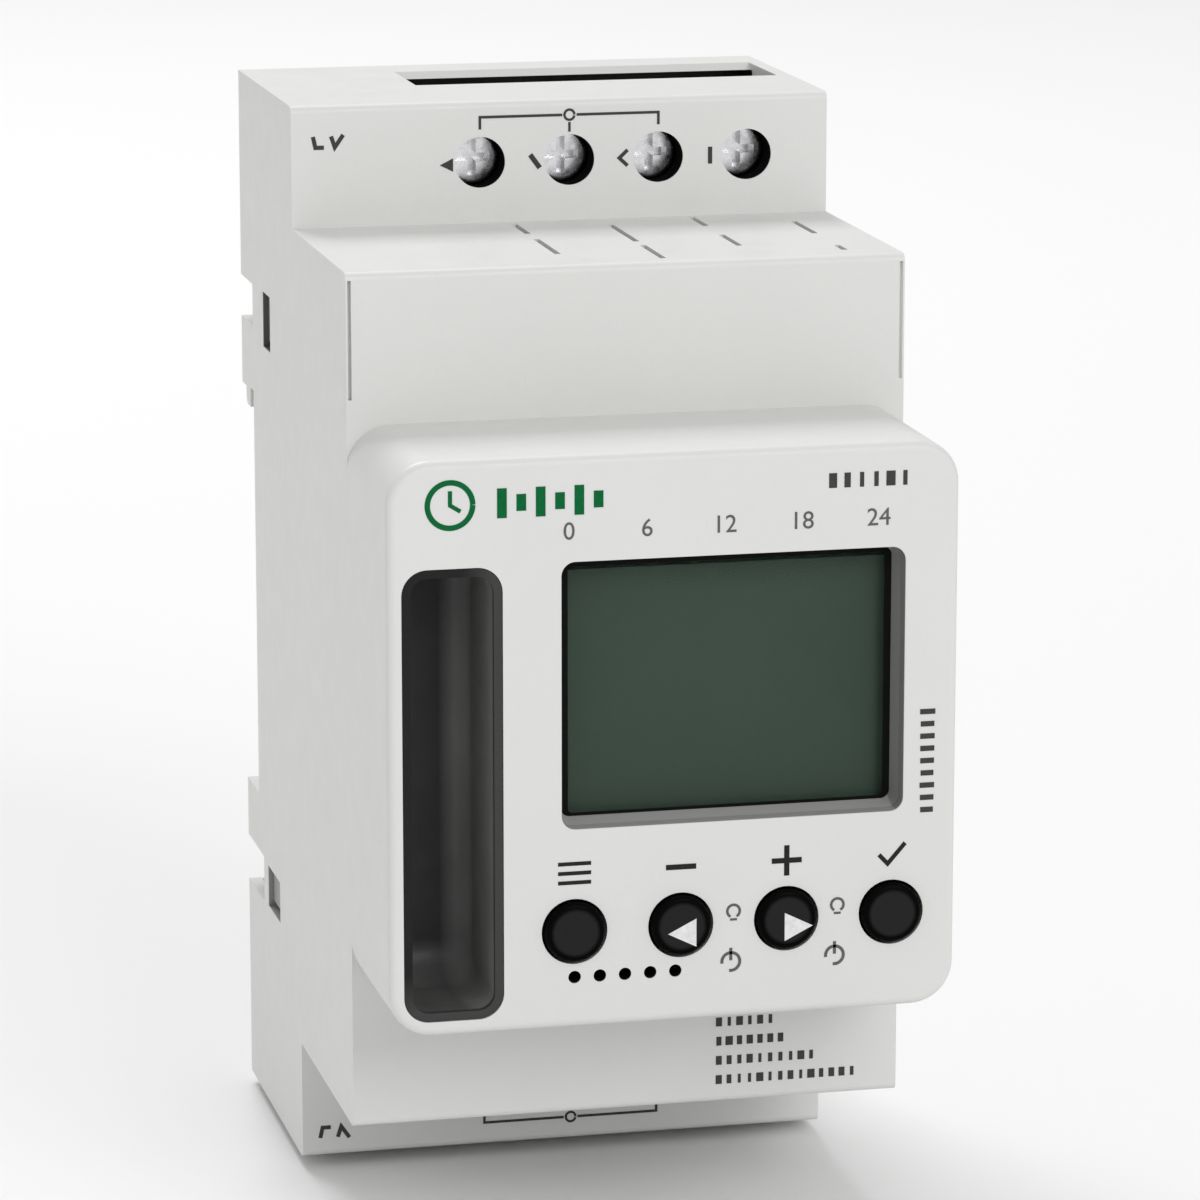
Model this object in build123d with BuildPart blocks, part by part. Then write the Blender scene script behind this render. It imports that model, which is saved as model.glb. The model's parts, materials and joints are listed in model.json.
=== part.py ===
"""Digital time switch for a 35 mm top-hat rail, three modules wide.

Frame: X runs across the width, Z up along the height, and the front looks along -Y.
The origin is the middle of the plane that rests on the rail.  Distances "ahead" are
measured from that plane towards the front, so they are -Y.  Everything is in millimetres.
"""
import os
from math import radians, tan

from build123d import *

os.makedirs("parts", exist_ok=True)

# ---------------------------------------------------------------- driving dimensions
WIDTH = 45.0                 # three 15 mm modules
HEIGHT = 89.0                # without the latch tab
SHOULDER_HEIGHT = 69.0
NOSE_HEIGHT = 45.0
REAR = -5.5                  # behind the rail plane
SHROUD_FRONT = 20.3
SHOULDER_FRONT = 44.0
NOSE_FRONT = 60.0
WALL = 1.8
SIDE_WALL = 1.1
NOSE_CORNER = 3.4
NOSE_EDGE = 0.7
STEP_EDGE = 0.6
FIT = 0.1                    # gap between nested shells
SEAM = {"x": (22.08, 22.36), "z": (24.5, 33.9), "depth": 0.6}  # beside the upper shoulder's front

RAIL_EDGE = 17.5             # half of the 35 mm rail
RAIL_GRIP = 1.5              # how far a claw reaches over the flange
RAIL_GAP = 1.3               # claw behind the rail plane, over a 1 mm flange
CLAW = 2.1                   # thickness of the fixed claw
CLAW_CHAMFER = 0.5
SEAT = 15.5                  # half height of the raised seat
SEAT_RISE = 0.3
SLOT_END = RAIL_EDGE + 0.2
UPPER_NOTCH = (23.3, 26.9)
UPPER_NOTCH_FLOOR = 0.3
LOWER_NOTCH = (-26.9, -22.85)
LOWER_NOTCH_FLOOR = 2.5
UPPER_WINDOW = {"ahead": (5.5, 9.0), "z": (22.4, 27.1)}
LOWER_WINDOW = {"ahead": (4.6, 10.5), "z": (-26.7, -23.1)}

KEY_SLOT = {"x": (-21.4, -13.55), "z": (-21.35, 14.2)}
KEY_SLOT_CORNER = 2.0
KEY_SLOT_FLOOR = 50.0
KEY_SLOT_END = 3.0           # radius that turns the ends of the slot into its floor
LINER_WALL = 0.65
DISPLAY = {"x": (-9.0, 18.2), "z": (-6.7, 14.3)}
DISPLAY_CORNER = 1.1
DISPLAY_DEPTH = 2.5
DISPLAY_STEP = 1.2           # depth of the steep outer wall of the opening
DISPLAY_SLOPES = (3.0, 16.0) # degrees that the outer and the inner wall lean in
DISPLAY_COLLAR = 2.0         # frame behind the front wall, round the opening
WINDOW_MARGIN = 1.0          # how far the window reaches behind that frame's edge

BUTTON_X = (-8.0, 0.43, 8.87, 17.3)
BUTTON_NAMES = ("menu", "minus", "plus", "ok")
BUTTON_Z = -14.8
BUTTON_RADIUS = 2.4
BUTTON_HOLE = 2.6
BUTTON_PROUD = 0.5
TEST_HOLE_RADIUS = 0.5
TEST_HOLE_Z = -18.45
TEST_HOLE_X = (-8.0, -6.0, -4.0, -2.0, 0.0)

TERMINAL_X = (-6.85, 0.65, 8.15, 15.65)
TERMINAL_PITCH = 7.5
TERMINAL_Z = 39.5
ACCESS_RADIUS = 2.1
WIRE_SLOT_X = (-9.85, 21.3)
WIRE_SLOT_FRONT = 8.6
WIRE_SLOT_REAR = {1: -0.8, -1: 0.4}    # upper and lower: the latch leaves less room below
SLOT_UNDERCUT = {1: 3.2, -1: 0.0}      # pocket behind the rear lip, on the inside
SLOT_LIP = 0.6               # thickness of the slot's leaning rear lip
SLOT_LEAN = 0.5              # how far that lip leans in
CLAMP_TRAVEL = 3.0

VENT_X = (-4.3, 3.3, 10.8, 18.4)
VENT_RUNS = (((21.5, 27.0), (30.0, 38.0)), ((23.5, 33.0), (35.0, 42.0)),
             ((21.0, 26.0), (31.0, 37.0)), ((25.0, 32.0), (38.5, 41.0)))
VENT_WIDTH = 0.5

LATCH_HALF = 8.0
LATCH_CHAMFER = 1.4          # lead-in on the claw of the latch
LATCH = {"ahead": (-3.9, -1.3), "z": (-45.5, -16.0)}
SLIDE_GAP = 0.2
LATCH_SLOT = {"half": 2.2, "post": (-40.6, -37.6)}   # spring slot and the post in it
LATCH_LIP = 1.3              # how far a lip of the channel holds the latch
LATCH_LIPS = ((-33.5, -28.5), (-42.6, -38.5))
TAB_SLOT = {"half": 3.0, "z": (-44.3, -42.9), "depth": 1.4}
SPRING_TOP, SPRING_BOTTOM = -29.6, -37.5
SPRING_WIRE = 0.35
SPRING_RADIUS = 1.0
SPRING_TURNS = 7
SNAP_ARM = 1.2               # thickness of a snap arm
SNAP_NOSE = 0.65             # how far its nose reaches into the side wall

BOARD = 1.6
POWER_BOARD = 9.5            # rear face of the power board
DISPLAY_BOARD = 50.8         # rear face of the display board
POST_X, POST_Z, POST_RADIUS = 16.5, 20.0, 2.4
SCREW_CORE = 1.2             # radius of the board screws
BOARD_CORNER = 1.5
MARK_RADIUS, MARK_DEPTH = 1.6, 0.15    # ejector marks on the rear pads
MARK_X, MARK_Z = 15.0, (35.0, -33.0)

HALF = WIDTH / 2
INSIDE = HALF - SIDE_WALL    # inner face of a side wall
TOP_INSIDE = HEIGHT / 2 - WALL


# ---------------------------------------------------------------- helpers
def slab(x, ahead, z, mode=Mode.ADD):
    """A box between two values on each axis."""
    centre = (sum(x) / 2, -sum(ahead) / 2, sum(z) / 2)
    with Locations(centre):
        Box(x[1] - x[0], ahead[1] - ahead[0], z[1] - z[0], mode=mode)


def rod(x, z, radius, ahead, mode=Mode.ADD):
    """A cylinder whose axis runs front to back."""
    with Locations((x, -sum(ahead) / 2, z)):
        Cylinder(radius, ahead[1] - ahead[0], rotation=(90, 0, 0), mode=mode)


def panel(x, ahead, z, corner, mode=Mode.ADD):
    """A plate facing the front, with rounded corners."""
    with BuildSketch(Plane.XZ.offset(ahead[0])) as outline:
        with Locations((sum(x) / 2, sum(z) / 2)):
            RectangleRounded(x[1] - x[0], z[1] - z[0], corner)
    extrude(outline.sketch, amount=ahead[1] - ahead[0], mode=mode)


def side_profile(points, half_width, mode=Mode.ADD):
    """Extrude an outline of (ahead, z) points to both sides of the middle plane."""
    with BuildSketch(Plane.YZ) as outline:
        with BuildLine():
            Polyline(*[(-ahead, z) for ahead, z in points], close=True)
        make_face()
    extrude(outline.sketch, amount=half_width, both=True, mode=mode)


def finish(builder, label):
    """Label a finished piece and write it."""
    builder.part.label = label
    export_step(builder.part, f"parts/{label}.step")


def widen(span, margin):
    """A span made longer by margin at each end."""
    return (span[0] - margin, span[1] + margin)


def mirrored(span, side):
    """A span for one side (1) of a middle plane or for the other (-1)."""
    return tuple(sorted((side * span[0], side * span[1])))


def rear_line(seat_rise):
    """The rear outline from the top pad down to the bottom pad, as (ahead, z) points."""
    claw_back = -RAIL_GAP - CLAW
    claw_tip = RAIL_EDGE - RAIL_GRIP
    floor = SEAT_RISE - seat_rise
    return [
        (REAR, UPPER_NOTCH[1]),
        (UPPER_NOTCH_FLOOR, UPPER_NOTCH[1]),
        (UPPER_NOTCH_FLOOR, UPPER_NOTCH[0]),
        (REAR, UPPER_NOTCH[0]),
        (REAR, RAIL_EDGE),
        (claw_back, RAIL_EDGE),
        (claw_back, claw_tip + CLAW_CHAMFER),
        (claw_back + CLAW_CHAMFER, claw_tip),
        (-RAIL_GAP, claw_tip),
        (-RAIL_GAP, SLOT_END),
        (SEAT_RISE, SLOT_END),
        (SEAT_RISE, SEAT),
        (floor, SEAT),
        (floor, -SEAT),
        (SEAT_RISE, -SEAT),
        (SEAT_RISE, -SLOT_END),
        (REAR, -SLOT_END),
        (REAR, LOWER_NOTCH[1]),
        (LOWER_NOTCH_FLOOR, LOWER_NOTCH[1]),
        (LOWER_NOTCH_FLOOR, LOWER_NOTCH[0]),
        (REAR, LOWER_NOTCH[0]),
    ]


def without_repeats(points):
    """Leave out points that equal the one before or lie between two others on a line."""
    kept = []
    for index, point in enumerate(points):
        before, after = points[index - 1], points[(index + 1) % len(points)]
        in_line = any(before[axis] == point[axis] == after[axis] for axis in (0, 1))
        if not in_line and point != before:
            kept.append(point)
    return kept


# ---------------------------------------------------------------- housing cover
def stepped_front(inset):
    """The front outline from the bottom shroud up to the top one, moved in by inset."""
    outer = [
        (SHROUD_FRONT, HEIGHT / 2), (SHROUD_FRONT, SHOULDER_HEIGHT / 2),
        (SHOULDER_FRONT, SHOULDER_HEIGHT / 2), (SHOULDER_FRONT, NOSE_HEIGHT / 2),
        (NOSE_FRONT, NOSE_HEIGHT / 2),
    ]
    upper = [(ahead - inset, z - inset) for ahead, z in outer]
    return [(ahead, -z) for ahead, z in upper] + upper[::-1]


def edges_near(builder, ahead, z, axis):
    """Edges along one axis at a given distance ahead and height."""
    return builder.edges().filter_by(axis).filter_by(
        lambda edge: abs(edge.center().Y + ahead) < 0.01 and abs(abs(edge.center().Z) - z) < 0.01)


def lean_in(ahead, depth, slope, opening):
    """Cut a rounded opening whose walls lean in by slope degrees, from ahead backwards."""
    with BuildSketch(Plane.XZ.offset(ahead)) as mouth:
        with Locations((sum(opening["x"]) / 2, sum(opening["z"]) / 2)):
            RectangleRounded(opening["x"][1] - opening["x"][0],
                             opening["z"][1] - opening["z"][0], DISPLAY_CORNER)
    extrude(mouth.sketch, amount=-depth, taper=slope, mode=Mode.SUBTRACT)


def wire_slot(side):
    """Cut a wire slot with a leaning rear lip and an undercut behind the lip."""
    rear, front = WIRE_SLOT_REAR[side], WIRE_SLOT_FRONT
    pocket = rear - SLOT_UNDERCUT[side]
    lip_end = HEIGHT / 2 - SLOT_LIP
    outline = [(rear, HEIGHT / 2), (rear + SLOT_LEAN, lip_end), (pocket, lip_end),
               (pocket, TOP_INSIDE - 1), (front, TOP_INSIDE - 1), (front, HEIGHT / 2 + 1),
               (rear, HEIGHT / 2 + 1)]
    with BuildSketch(Plane.YZ.offset(WIRE_SLOT_X[0])) as section:
        with BuildLine():
            Polyline(*[(-ahead, side * z) for ahead, z in outline], close=True)
        make_face()
    extrude(section.sketch, amount=WIRE_SLOT_X[1] - WIRE_SLOT_X[0], mode=Mode.SUBTRACT)


with BuildPart() as housing_cover:
    outer = [(REAR, -HEIGHT / 2)] + stepped_front(0) + [(REAR, HEIGHT / 2)] + rear_line(0)
    side_profile(without_repeats(outer), HALF)
    nose_corners = housing_cover.edges().filter_by(Axis.Y).filter_by(
        lambda edge: abs(abs(edge.center().Z) - NOSE_HEIGHT / 2) < 0.01
        and edge.center().Y < -SHOULDER_FRONT)
    fillet(nose_corners, NOSE_CORNER)
    fillet(housing_cover.faces().sort_by(Axis.Y)[0].edges(), NOSE_EDGE)
    fillet(edges_near(housing_cover, SHOULDER_FRONT, SHOULDER_HEIGHT / 2, Axis.X), STEP_EDGE)
    fillet(edges_near(housing_cover, SHROUD_FRONT, HEIGHT / 2, Axis.X), STEP_EDGE)
    # cavity, open at the rear; its nose has rounded corners that follow the outside
    shell = [(REAR - 1, -TOP_INSIDE)] + stepped_front(WALL)[:4]
    shell += [(ahead, -z) for ahead, z in shell[::-1]]
    side_profile(shell, INSIDE, Mode.SUBTRACT)
    nose_inside = NOSE_HEIGHT / 2 - SIDE_WALL
    panel((-INSIDE, INSIDE), (SHOULDER_FRONT - WALL - 1, NOSE_FRONT - WALL),
          (-nose_inside, nose_inside), KEY_SLOT_CORNER - FIT, Mode.SUBTRACT)
    # snap windows in both side walls
    for window in (UPPER_WINDOW, LOWER_WINDOW):
        slab((-HALF - 1, HALF + 1), window["ahead"], window["z"], Mode.SUBTRACT)
    # collar that carries the display window, and the leaning walls of its opening
    window_front = NOSE_FRONT - DISPLAY_DEPTH
    panel(widen(DISPLAY["x"], DISPLAY_COLLAR), (window_front - 1.0, NOSE_FRONT - WALL),
          widen(DISPLAY["z"], DISPLAY_COLLAR), DISPLAY_COLLAR)
    panel(widen(DISPLAY["x"], WINDOW_MARGIN + FIT), (window_front - 2, window_front),
          widen(DISPLAY["z"], WINDOW_MARGIN + FIT), DISPLAY_CORNER + 0.4, Mode.SUBTRACT)
    step_in = DISPLAY_STEP * tan(radians(DISPLAY_SLOPES[0]))
    lean_in(NOSE_FRONT, DISPLAY_STEP, DISPLAY_SLOPES[0], DISPLAY)
    inner_edge = {axis: widen(DISPLAY[axis], -step_in) for axis in ("x", "z")}
    lean_in(NOSE_FRONT - DISPLAY_STEP, DISPLAY_DEPTH - DISPLAY_STEP, DISPLAY_SLOPES[1], inner_edge)
    # key slot, buttons and test holes
    panel(KEY_SLOT["x"], (NOSE_FRONT - WALL - 1, NOSE_FRONT + 1), KEY_SLOT["z"],
          KEY_SLOT_CORNER, Mode.SUBTRACT)
    for x in BUTTON_X:
        rod(x, BUTTON_Z, BUTTON_HOLE, (NOSE_FRONT - WALL - 1, NOSE_FRONT + 1), Mode.SUBTRACT)
    for x in TEST_HOLE_X:
        rod(x, TEST_HOLE_Z, TEST_HOLE_RADIUS, (NOSE_FRONT - WALL - 1, NOSE_FRONT + 1),
            Mode.SUBTRACT)
    # screw access holes, wire entry slots and vents, above and below
    for side in (1, -1):
        for x in TERMINAL_X:
            rod(x, side * TERMINAL_Z, ACCESS_RADIUS, (SHROUD_FRONT - WALL - 1, SHROUD_FRONT + 1),
                Mode.SUBTRACT)
        wire_slot(side)
        for x, runs in zip(VENT_X, VENT_RUNS):
            for run in runs:
                slab((x - VENT_WIDTH / 2, x + VENT_WIDTH / 2), run,
                     mirrored((SHOULDER_HEIGHT / 2 - WALL - 1, SHOULDER_HEIGHT / 2 + 1), side),
                     Mode.SUBTRACT)
    # seams down both edges of the upper shoulder's front
    for side in (1, -1):
        slab(mirrored(SEAM["x"], side), (SHOULDER_FRONT - SEAM["depth"], SHOULDER_FRONT + 1),
             SEAM["z"], Mode.SUBTRACT)
    # way out for the latch tab
    slab((-LATCH_HALF - 0.3, LATCH_HALF + 0.3), widen(LATCH["ahead"], SLIDE_GAP),
         (-HEIGHT / 2 - 1, -TOP_INSIDE + 1), Mode.SUBTRACT)
finish(housing_cover, "housing_cover")


# ---------------------------------------------------------------- housing base
CHANNEL_FLOOR = LATCH["ahead"][1] + SLIDE_GAP      # plane that the latch slides on
CHANNEL_HALF = LATCH_HALF + SLIDE_GAP

with BuildPart() as housing_base:
    end = TOP_INSIDE - FIT
    plate = REAR + WALL
    inner_floor = WALL
    inner = [
        (plate, -end), (plate, LOWER_NOTCH[0] - WALL),
        (LOWER_NOTCH_FLOOR + WALL, LOWER_NOTCH[0] - WALL),
        (LOWER_NOTCH_FLOOR + WALL, LOWER_NOTCH[1] + WALL),
        (inner_floor + SEAT_RISE, LOWER_NOTCH[1] + WALL),
        (inner_floor + SEAT_RISE, UPPER_NOTCH[1] + WALL),
        (plate, UPPER_NOTCH[1] + WALL), (plate, end),
    ]
    side_profile(inner + [(REAR, end)] + rear_line(SEAT_RISE) + [(REAR, -end)], INSIDE - FIT)
    # channel for the latch: the hook and the lower pad open up, and a tray closes it inside
    slab((-CHANNEL_HALF, CHANNEL_HALF), (REAR - 1, CHANNEL_FLOOR),
         (-end - 1, -SLOT_END + 1), Mode.SUBTRACT)
    tray_z = (-end + 1.2, LOWER_NOTCH[0])
    slab((-CHANNEL_HALF - WALL, CHANNEL_HALF + WALL), (CHANNEL_FLOOR, CHANNEL_FLOOR + WALL),
         tray_z)
    for side in (1, -1):
        wall_x = mirrored((CHANNEL_HALF, CHANNEL_HALF + WALL), side)
        slab(wall_x, (plate, CHANNEL_FLOOR + WALL), tray_z)
        lip_x = mirrored((CHANNEL_HALF - LATCH_LIP, CHANNEL_HALF), side)
        for lip_z in LATCH_LIPS:
            slab(lip_x, (REAR, LATCH["ahead"][0] - SLIDE_GAP), lip_z)
    post_half = LATCH_SLOT["half"] - 0.3
    slab((-post_half, post_half), (LATCH["ahead"][0] + SLIDE_GAP, CHANNEL_FLOOR),
         LATCH_SLOT["post"])
    # posts that carry the power board
    for x in (-POST_X, POST_X):
        for z in (-POST_Z, POST_Z):
            rod(x, z, POST_RADIUS, (inner_floor, POWER_BOARD))
            rod(x, z, SCREW_CORE + 0.05, (POWER_BOARD - 6, POWER_BOARD + 1), Mode.SUBTRACT)
    # snap arms and their noses
    for side in (1, -1):
        arm_x = mirrored((INSIDE - FIT - SNAP_ARM, INSIDE - FIT), side)
        nose_x = mirrored((INSIDE - 0.5, INSIDE + SNAP_NOSE), side)
        for window, nose_length in ((UPPER_WINDOW, 1.2), (LOWER_WINDOW, 3.3)):
            nose_back = window["ahead"][0] + FIT
            slab(arm_x, (inner_floor, window["ahead"][1] - 0.2), widen(window["z"], -0.4))
            slab(nose_x, (nose_back, nose_back + nose_length), widen(window["z"], -0.5))
    # ejector marks on the two rear pads
    for x in (-MARK_X, MARK_X):
        for z in MARK_Z:
            rod(x, z, MARK_RADIUS, (REAR - 1, REAR + MARK_DEPTH), Mode.SUBTRACT)
finish(housing_base, "housing_base")


# ---------------------------------------------------------------- rail latch and its spring
with BuildPart() as rail_latch:
    slab((-LATCH_HALF, LATCH_HALF), LATCH["ahead"], LATCH["z"])
    claw_edge = rail_latch.edges().filter_by(Axis.X).group_by(Axis.Z)[-1].sort_by(Axis.Y)[-1]
    chamfer(claw_edge, LATCH_CHAMFER)
    slab((-LATCH_SLOT["half"], LATCH_SLOT["half"]), widen(LATCH["ahead"], 1),
         (LATCH_SLOT["post"][0] - FIT, SPRING_TOP + FIT), Mode.SUBTRACT)
    # screwdriver slot in the pull tab
    slab((-TAB_SLOT["half"], TAB_SLOT["half"]),
         (LATCH["ahead"][0] - 1, LATCH["ahead"][0] + TAB_SLOT["depth"]), TAB_SLOT["z"],
         Mode.SUBTRACT)
finish(rail_latch, "rail_latch")

with BuildPart() as latch_spring:
    spring_length = SPRING_TOP - SPRING_BOTTOM - SPRING_WIRE
    spring_foot = (0, -sum(LATCH["ahead"]) / 2, SPRING_BOTTOM + SPRING_WIRE / 2)
    with BuildLine(Plane(spring_foot)) as coil:
        Helix(spring_length / SPRING_TURNS, spring_length, SPRING_RADIUS)
    with BuildSketch(Plane(coil.line @ 0, z_dir=coil.line % 0)) as wire:
        Circle(SPRING_WIRE / 2)
    sweep(wire.sketch, path=coil.line, is_frenet=True)
finish(latch_spring, "latch_spring")


# ---------------------------------------------------------------- key slot liner
def rounded_trough(x, ahead, z, end_radius, side_radius):
    """A trough's solid: its ends turn into the floor by an arc, its long edges are rounded."""
    with BuildPart() as trough:
        with BuildSketch(Plane.YZ.offset(x[0])) as lengthwise:
            with Locations((-sum(ahead) / 2, sum(z) / 2)):
                Rectangle(ahead[1] - ahead[0], z[1] - z[0])
            fillet(lengthwise.vertices().group_by(Axis.X)[-1], end_radius)
        extrude(amount=x[1] - x[0])
        long_edges = trough.faces().filter_by(Axis.X).edges()
        front_edges = trough.faces().sort_by(Axis.Y)[0].edges()
        fillet([edge for edge in long_edges if edge not in front_edges], side_radius)
    return trough.part


LINER_FIT = 0.05
LINER_TABS = (-12.0, 8.0)    # heights of its two snap tabs
TAB_HALF, TAB_REACH, TAB_THICKNESS = 2.0, 0.9, 1.0
liner_x, liner_z = widen(KEY_SLOT["x"], -LINER_FIT), widen(KEY_SLOT["z"], -LINER_FIT)
liner_outside = rounded_trough(liner_x, (KEY_SLOT_FLOOR - LINER_WALL, NOSE_FRONT - FIT), liner_z,
                               KEY_SLOT_END + LINER_WALL, KEY_SLOT_CORNER - LINER_FIT)
liner_inside = rounded_trough(widen(liner_x, -LINER_WALL), (KEY_SLOT_FLOOR, NOSE_FRONT + 1),
                              widen(liner_z, -LINER_WALL), KEY_SLOT_END,
                              KEY_SLOT_CORNER - LINER_WALL)

with BuildPart() as key_slot_liner:
    add(liner_outside)
    add(liner_inside, mode=Mode.SUBTRACT)
    # tabs that snap behind the front wall
    tab_front = NOSE_FRONT - WALL - FIT
    for tab_z in LINER_TABS:
        slab((liner_x[1] - LINER_WALL / 2, liner_x[1] + TAB_REACH),
             (tab_front - TAB_THICKNESS, tab_front), (tab_z - TAB_HALF, tab_z + TAB_HALF))
finish(key_slot_liner, "key_slot_liner")


# ---------------------------------------------------------------- display stack
WINDOW_FRONT = NOSE_FRONT - DISPLAY_DEPTH
WINDOW = 1.0
LCD_X, LCD_Z = (-9.6, 18.8), (-9.2, 14.9)
LCD_AHEAD = (54.1, 56.3)
LCD_MIDDLE = sum(LCD_AHEAD) / 2      # the front glass ends here, the rear glass is longer
LCD_LEDGE = 2.0                      # contact ledge of the rear glass
STACK_BACK = DISPLAY_BOARD + BOARD
ZEBRA_X, ZEBRA_ROWS = (-8.4, 17.6), ((-9.0, -7.2), (13.0, 14.7))
LIGHT_X, LIGHT_Z = (-8.8, 18.0), (-6.8, 12.6)
HOLDER_X, HOLDER_Z = (-11.4, 20.7), (-10.6, 16.4)
GUIDE = {"ahead": (55.5, 56.3), "z": (-19.0, -10.6), "hole": 1.5, "peg": 0.9}

with BuildPart() as display_window:
    panel(widen(DISPLAY["x"], WINDOW_MARGIN), (WINDOW_FRONT - WINDOW, WINDOW_FRONT),
          widen(DISPLAY["z"], WINDOW_MARGIN), DISPLAY_CORNER + 0.3)
    chamfer(display_window.faces().sort_by(Axis.Y)[-1].edges(), 0.2)
finish(display_window, "display_window")

with BuildPart() as lcd_panel:
    slab(LCD_X, (LCD_MIDDLE, LCD_AHEAD[1]), widen(LCD_Z, -LCD_LEDGE))
    slab(LCD_X, (LCD_AHEAD[0], LCD_MIDDLE), LCD_Z)
finish(lcd_panel, "lcd_panel")

with BuildPart() as lcd_holder:
    panel(HOLDER_X, (STACK_BACK + FIT, WINDOW_FRONT - WINDOW - FIT), HOLDER_Z, BOARD_CORNER)
    slab(widen(LCD_X, FIT), (STACK_BACK, WINDOW_FRONT), widen(LCD_Z, FIT), Mode.SUBTRACT)
    # plate below the frame that guides the button stems, and its pegs
    slab(HOLDER_X, GUIDE["ahead"], GUIDE["z"])
    for x in BUTTON_X:
        rod(x, BUTTON_Z, GUIDE["hole"], widen(GUIDE["ahead"], 1), Mode.SUBTRACT)
    for left, right in ((0, 1), (2, 3)):
        rod((BUTTON_X[left] + BUTTON_X[right]) / 2, BUTTON_Z, GUIDE["peg"],
            (STACK_BACK + FIT, GUIDE["ahead"][0]))
    slab((TEST_HOLE_X[0] - 1, TEST_HOLE_X[-1] + 1), widen(GUIDE["ahead"], 1),
         (GUIDE["z"][0] - FIT, TEST_HOLE_Z + 0.65), Mode.SUBTRACT)
finish(lcd_holder, "lcd_holder")

with BuildPart() as lcd_backlight:
    slab(LIGHT_X, (STACK_BACK + FIT, LCD_AHEAD[0] - FIT), LIGHT_Z)
    chamfer(lcd_backlight.edges().filter_by(Axis.Y), 0.8)
finish(lcd_backlight, "lcd_backlight")

with BuildPart() as zebra_strips:
    for row in ZEBRA_ROWS:
        slab(ZEBRA_X, (STACK_BACK, LCD_AHEAD[0]), row)
finish(zebra_strips, "zebra_strips")


# ---------------------------------------------------------------- buttons and their switches
FLANGE_FRONT = NOSE_FRONT - WALL - 0.05
FLANGE_BACK = FLANGE_FRONT - 1.0
FLANGE_RADIUS = BUTTON_RADIUS + 0.8
STEM_RADIUS = 1.3
CAP_EDGE = 0.45
PLUNGER = (53.3, 55.2)
SWITCH_FRONT = 54.4
SWITCH_HALF = 3.0

for name, x in zip(BUTTON_NAMES, BUTTON_X):
    with BuildPart() as button:
        rod(x, BUTTON_Z, BUTTON_RADIUS, (FLANGE_FRONT, NOSE_FRONT + BUTTON_PROUD))
        fillet(button.faces().sort_by(Axis.Y)[0].edges(), CAP_EDGE)
        rod(x, BUTTON_Z, FLANGE_RADIUS, (FLANGE_BACK, FLANGE_FRONT))
        rod(x, BUTTON_Z, STEM_RADIUS, (PLUNGER[1], FLANGE_BACK))
    finish(button, f"button_{name}")
    with BuildPart() as plunger:
        rod(x, BUTTON_Z, STEM_RADIUS, PLUNGER)
        chamfer(plunger.faces().sort_by(Axis.Y)[-1].edges(), 0.2)
    finish(plunger, f"plunger_{name}")

with BuildPart() as tact_switches:
    for x in BUTTON_X:
        slab((x - SWITCH_HALF, x + SWITCH_HALF), (STACK_BACK, SWITCH_FRONT),
             (BUTTON_Z - SWITCH_HALF, BUTTON_Z + SWITCH_HALF))
    chamfer(tact_switches.edges().filter_by(Axis.Y), 0.5)
    for x in BUTTON_X:
        rod(x, BUTTON_Z, STEM_RADIUS + 0.15, (STACK_BACK + 0.2, SWITCH_FRONT + 1), Mode.SUBTRACT)
finish(tact_switches, "tact_switches")


# ---------------------------------------------------------------- boards and what they carry
LINK_X = (18.6, 18.6 + BOARD)
LINK_Z = (-12.0, 12.0)
HEADER_LENGTH, HEADER_SIZE = 20.3, 2.5
POWER_FRONT = POWER_BOARD + BOARD
POWER_HALF_X, POWER_HALF_Z = 19.5, 32.5
DISPLAY_BOARD_X, DISPLAY_BOARD_HALF_Z = (-12.4, 20.9), 20.2
HEAD_HEIGHT, BOARD_SCREW_HEAD = 1.6, 2.1


def cross_recess(x, z, half_length, half_width, ahead):
    """Cut the two slots of a cross recess."""
    slab((x - half_width, x + half_width), ahead, (z - half_length, z + half_length),
         Mode.SUBTRACT)
    slab((x - half_length, x + half_length), ahead, (z - half_width, z + half_width),
         Mode.SUBTRACT)


with BuildPart() as display_board:
    slab(DISPLAY_BOARD_X, (DISPLAY_BOARD, STACK_BACK),
         (-DISPLAY_BOARD_HALF_Z, DISPLAY_BOARD_HALF_Z))
    chamfer(display_board.edges().filter_by(Axis.Y), BOARD_CORNER)
finish(display_board, "display_board")

with BuildPart() as power_board:
    slab((-POWER_HALF_X, POWER_HALF_X), (POWER_BOARD, POWER_FRONT), (-POWER_HALF_Z, POWER_HALF_Z))
    chamfer(power_board.edges().filter_by(Axis.Y), BOARD_CORNER)
    for x in (-POST_X, POST_X):
        for z in (-POST_Z, POST_Z):
            rod(x, z, SCREW_CORE + 0.25, (POWER_BOARD - 1, POWER_FRONT + 1), Mode.SUBTRACT)
finish(power_board, "power_board")

with BuildPart() as board_screws:
    for x in (-POST_X, POST_X):
        for z in (-POST_Z, POST_Z):
            rod(x, z, BOARD_SCREW_HEAD, (POWER_FRONT, POWER_FRONT + HEAD_HEIGHT))
            rod(x, z, SCREW_CORE, (POWER_BOARD - 5, POWER_FRONT))
            cross_recess(x, z, 1.4, 0.3, (POWER_FRONT + HEAD_HEIGHT / 2, POWER_FRONT + 2))
finish(board_screws, "board_screws")

with BuildPart() as link_board:
    slab(LINK_X, (POWER_FRONT + 0.3, DISPLAY_BOARD - 0.3), LINK_Z)
finish(link_board, "link_board")

with BuildPart() as pin_headers:
    for rear in (POWER_FRONT, DISPLAY_BOARD - HEADER_SIZE):
        slab((LINK_X[0] - HEADER_SIZE, LINK_X[0]), (rear, rear + HEADER_SIZE),
             (-HEADER_LENGTH / 2, HEADER_LENGTH / 2))
    chamfer(pin_headers.edges().filter_by(Axis.Y), 0.4)
finish(pin_headers, "pin_headers")

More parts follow.
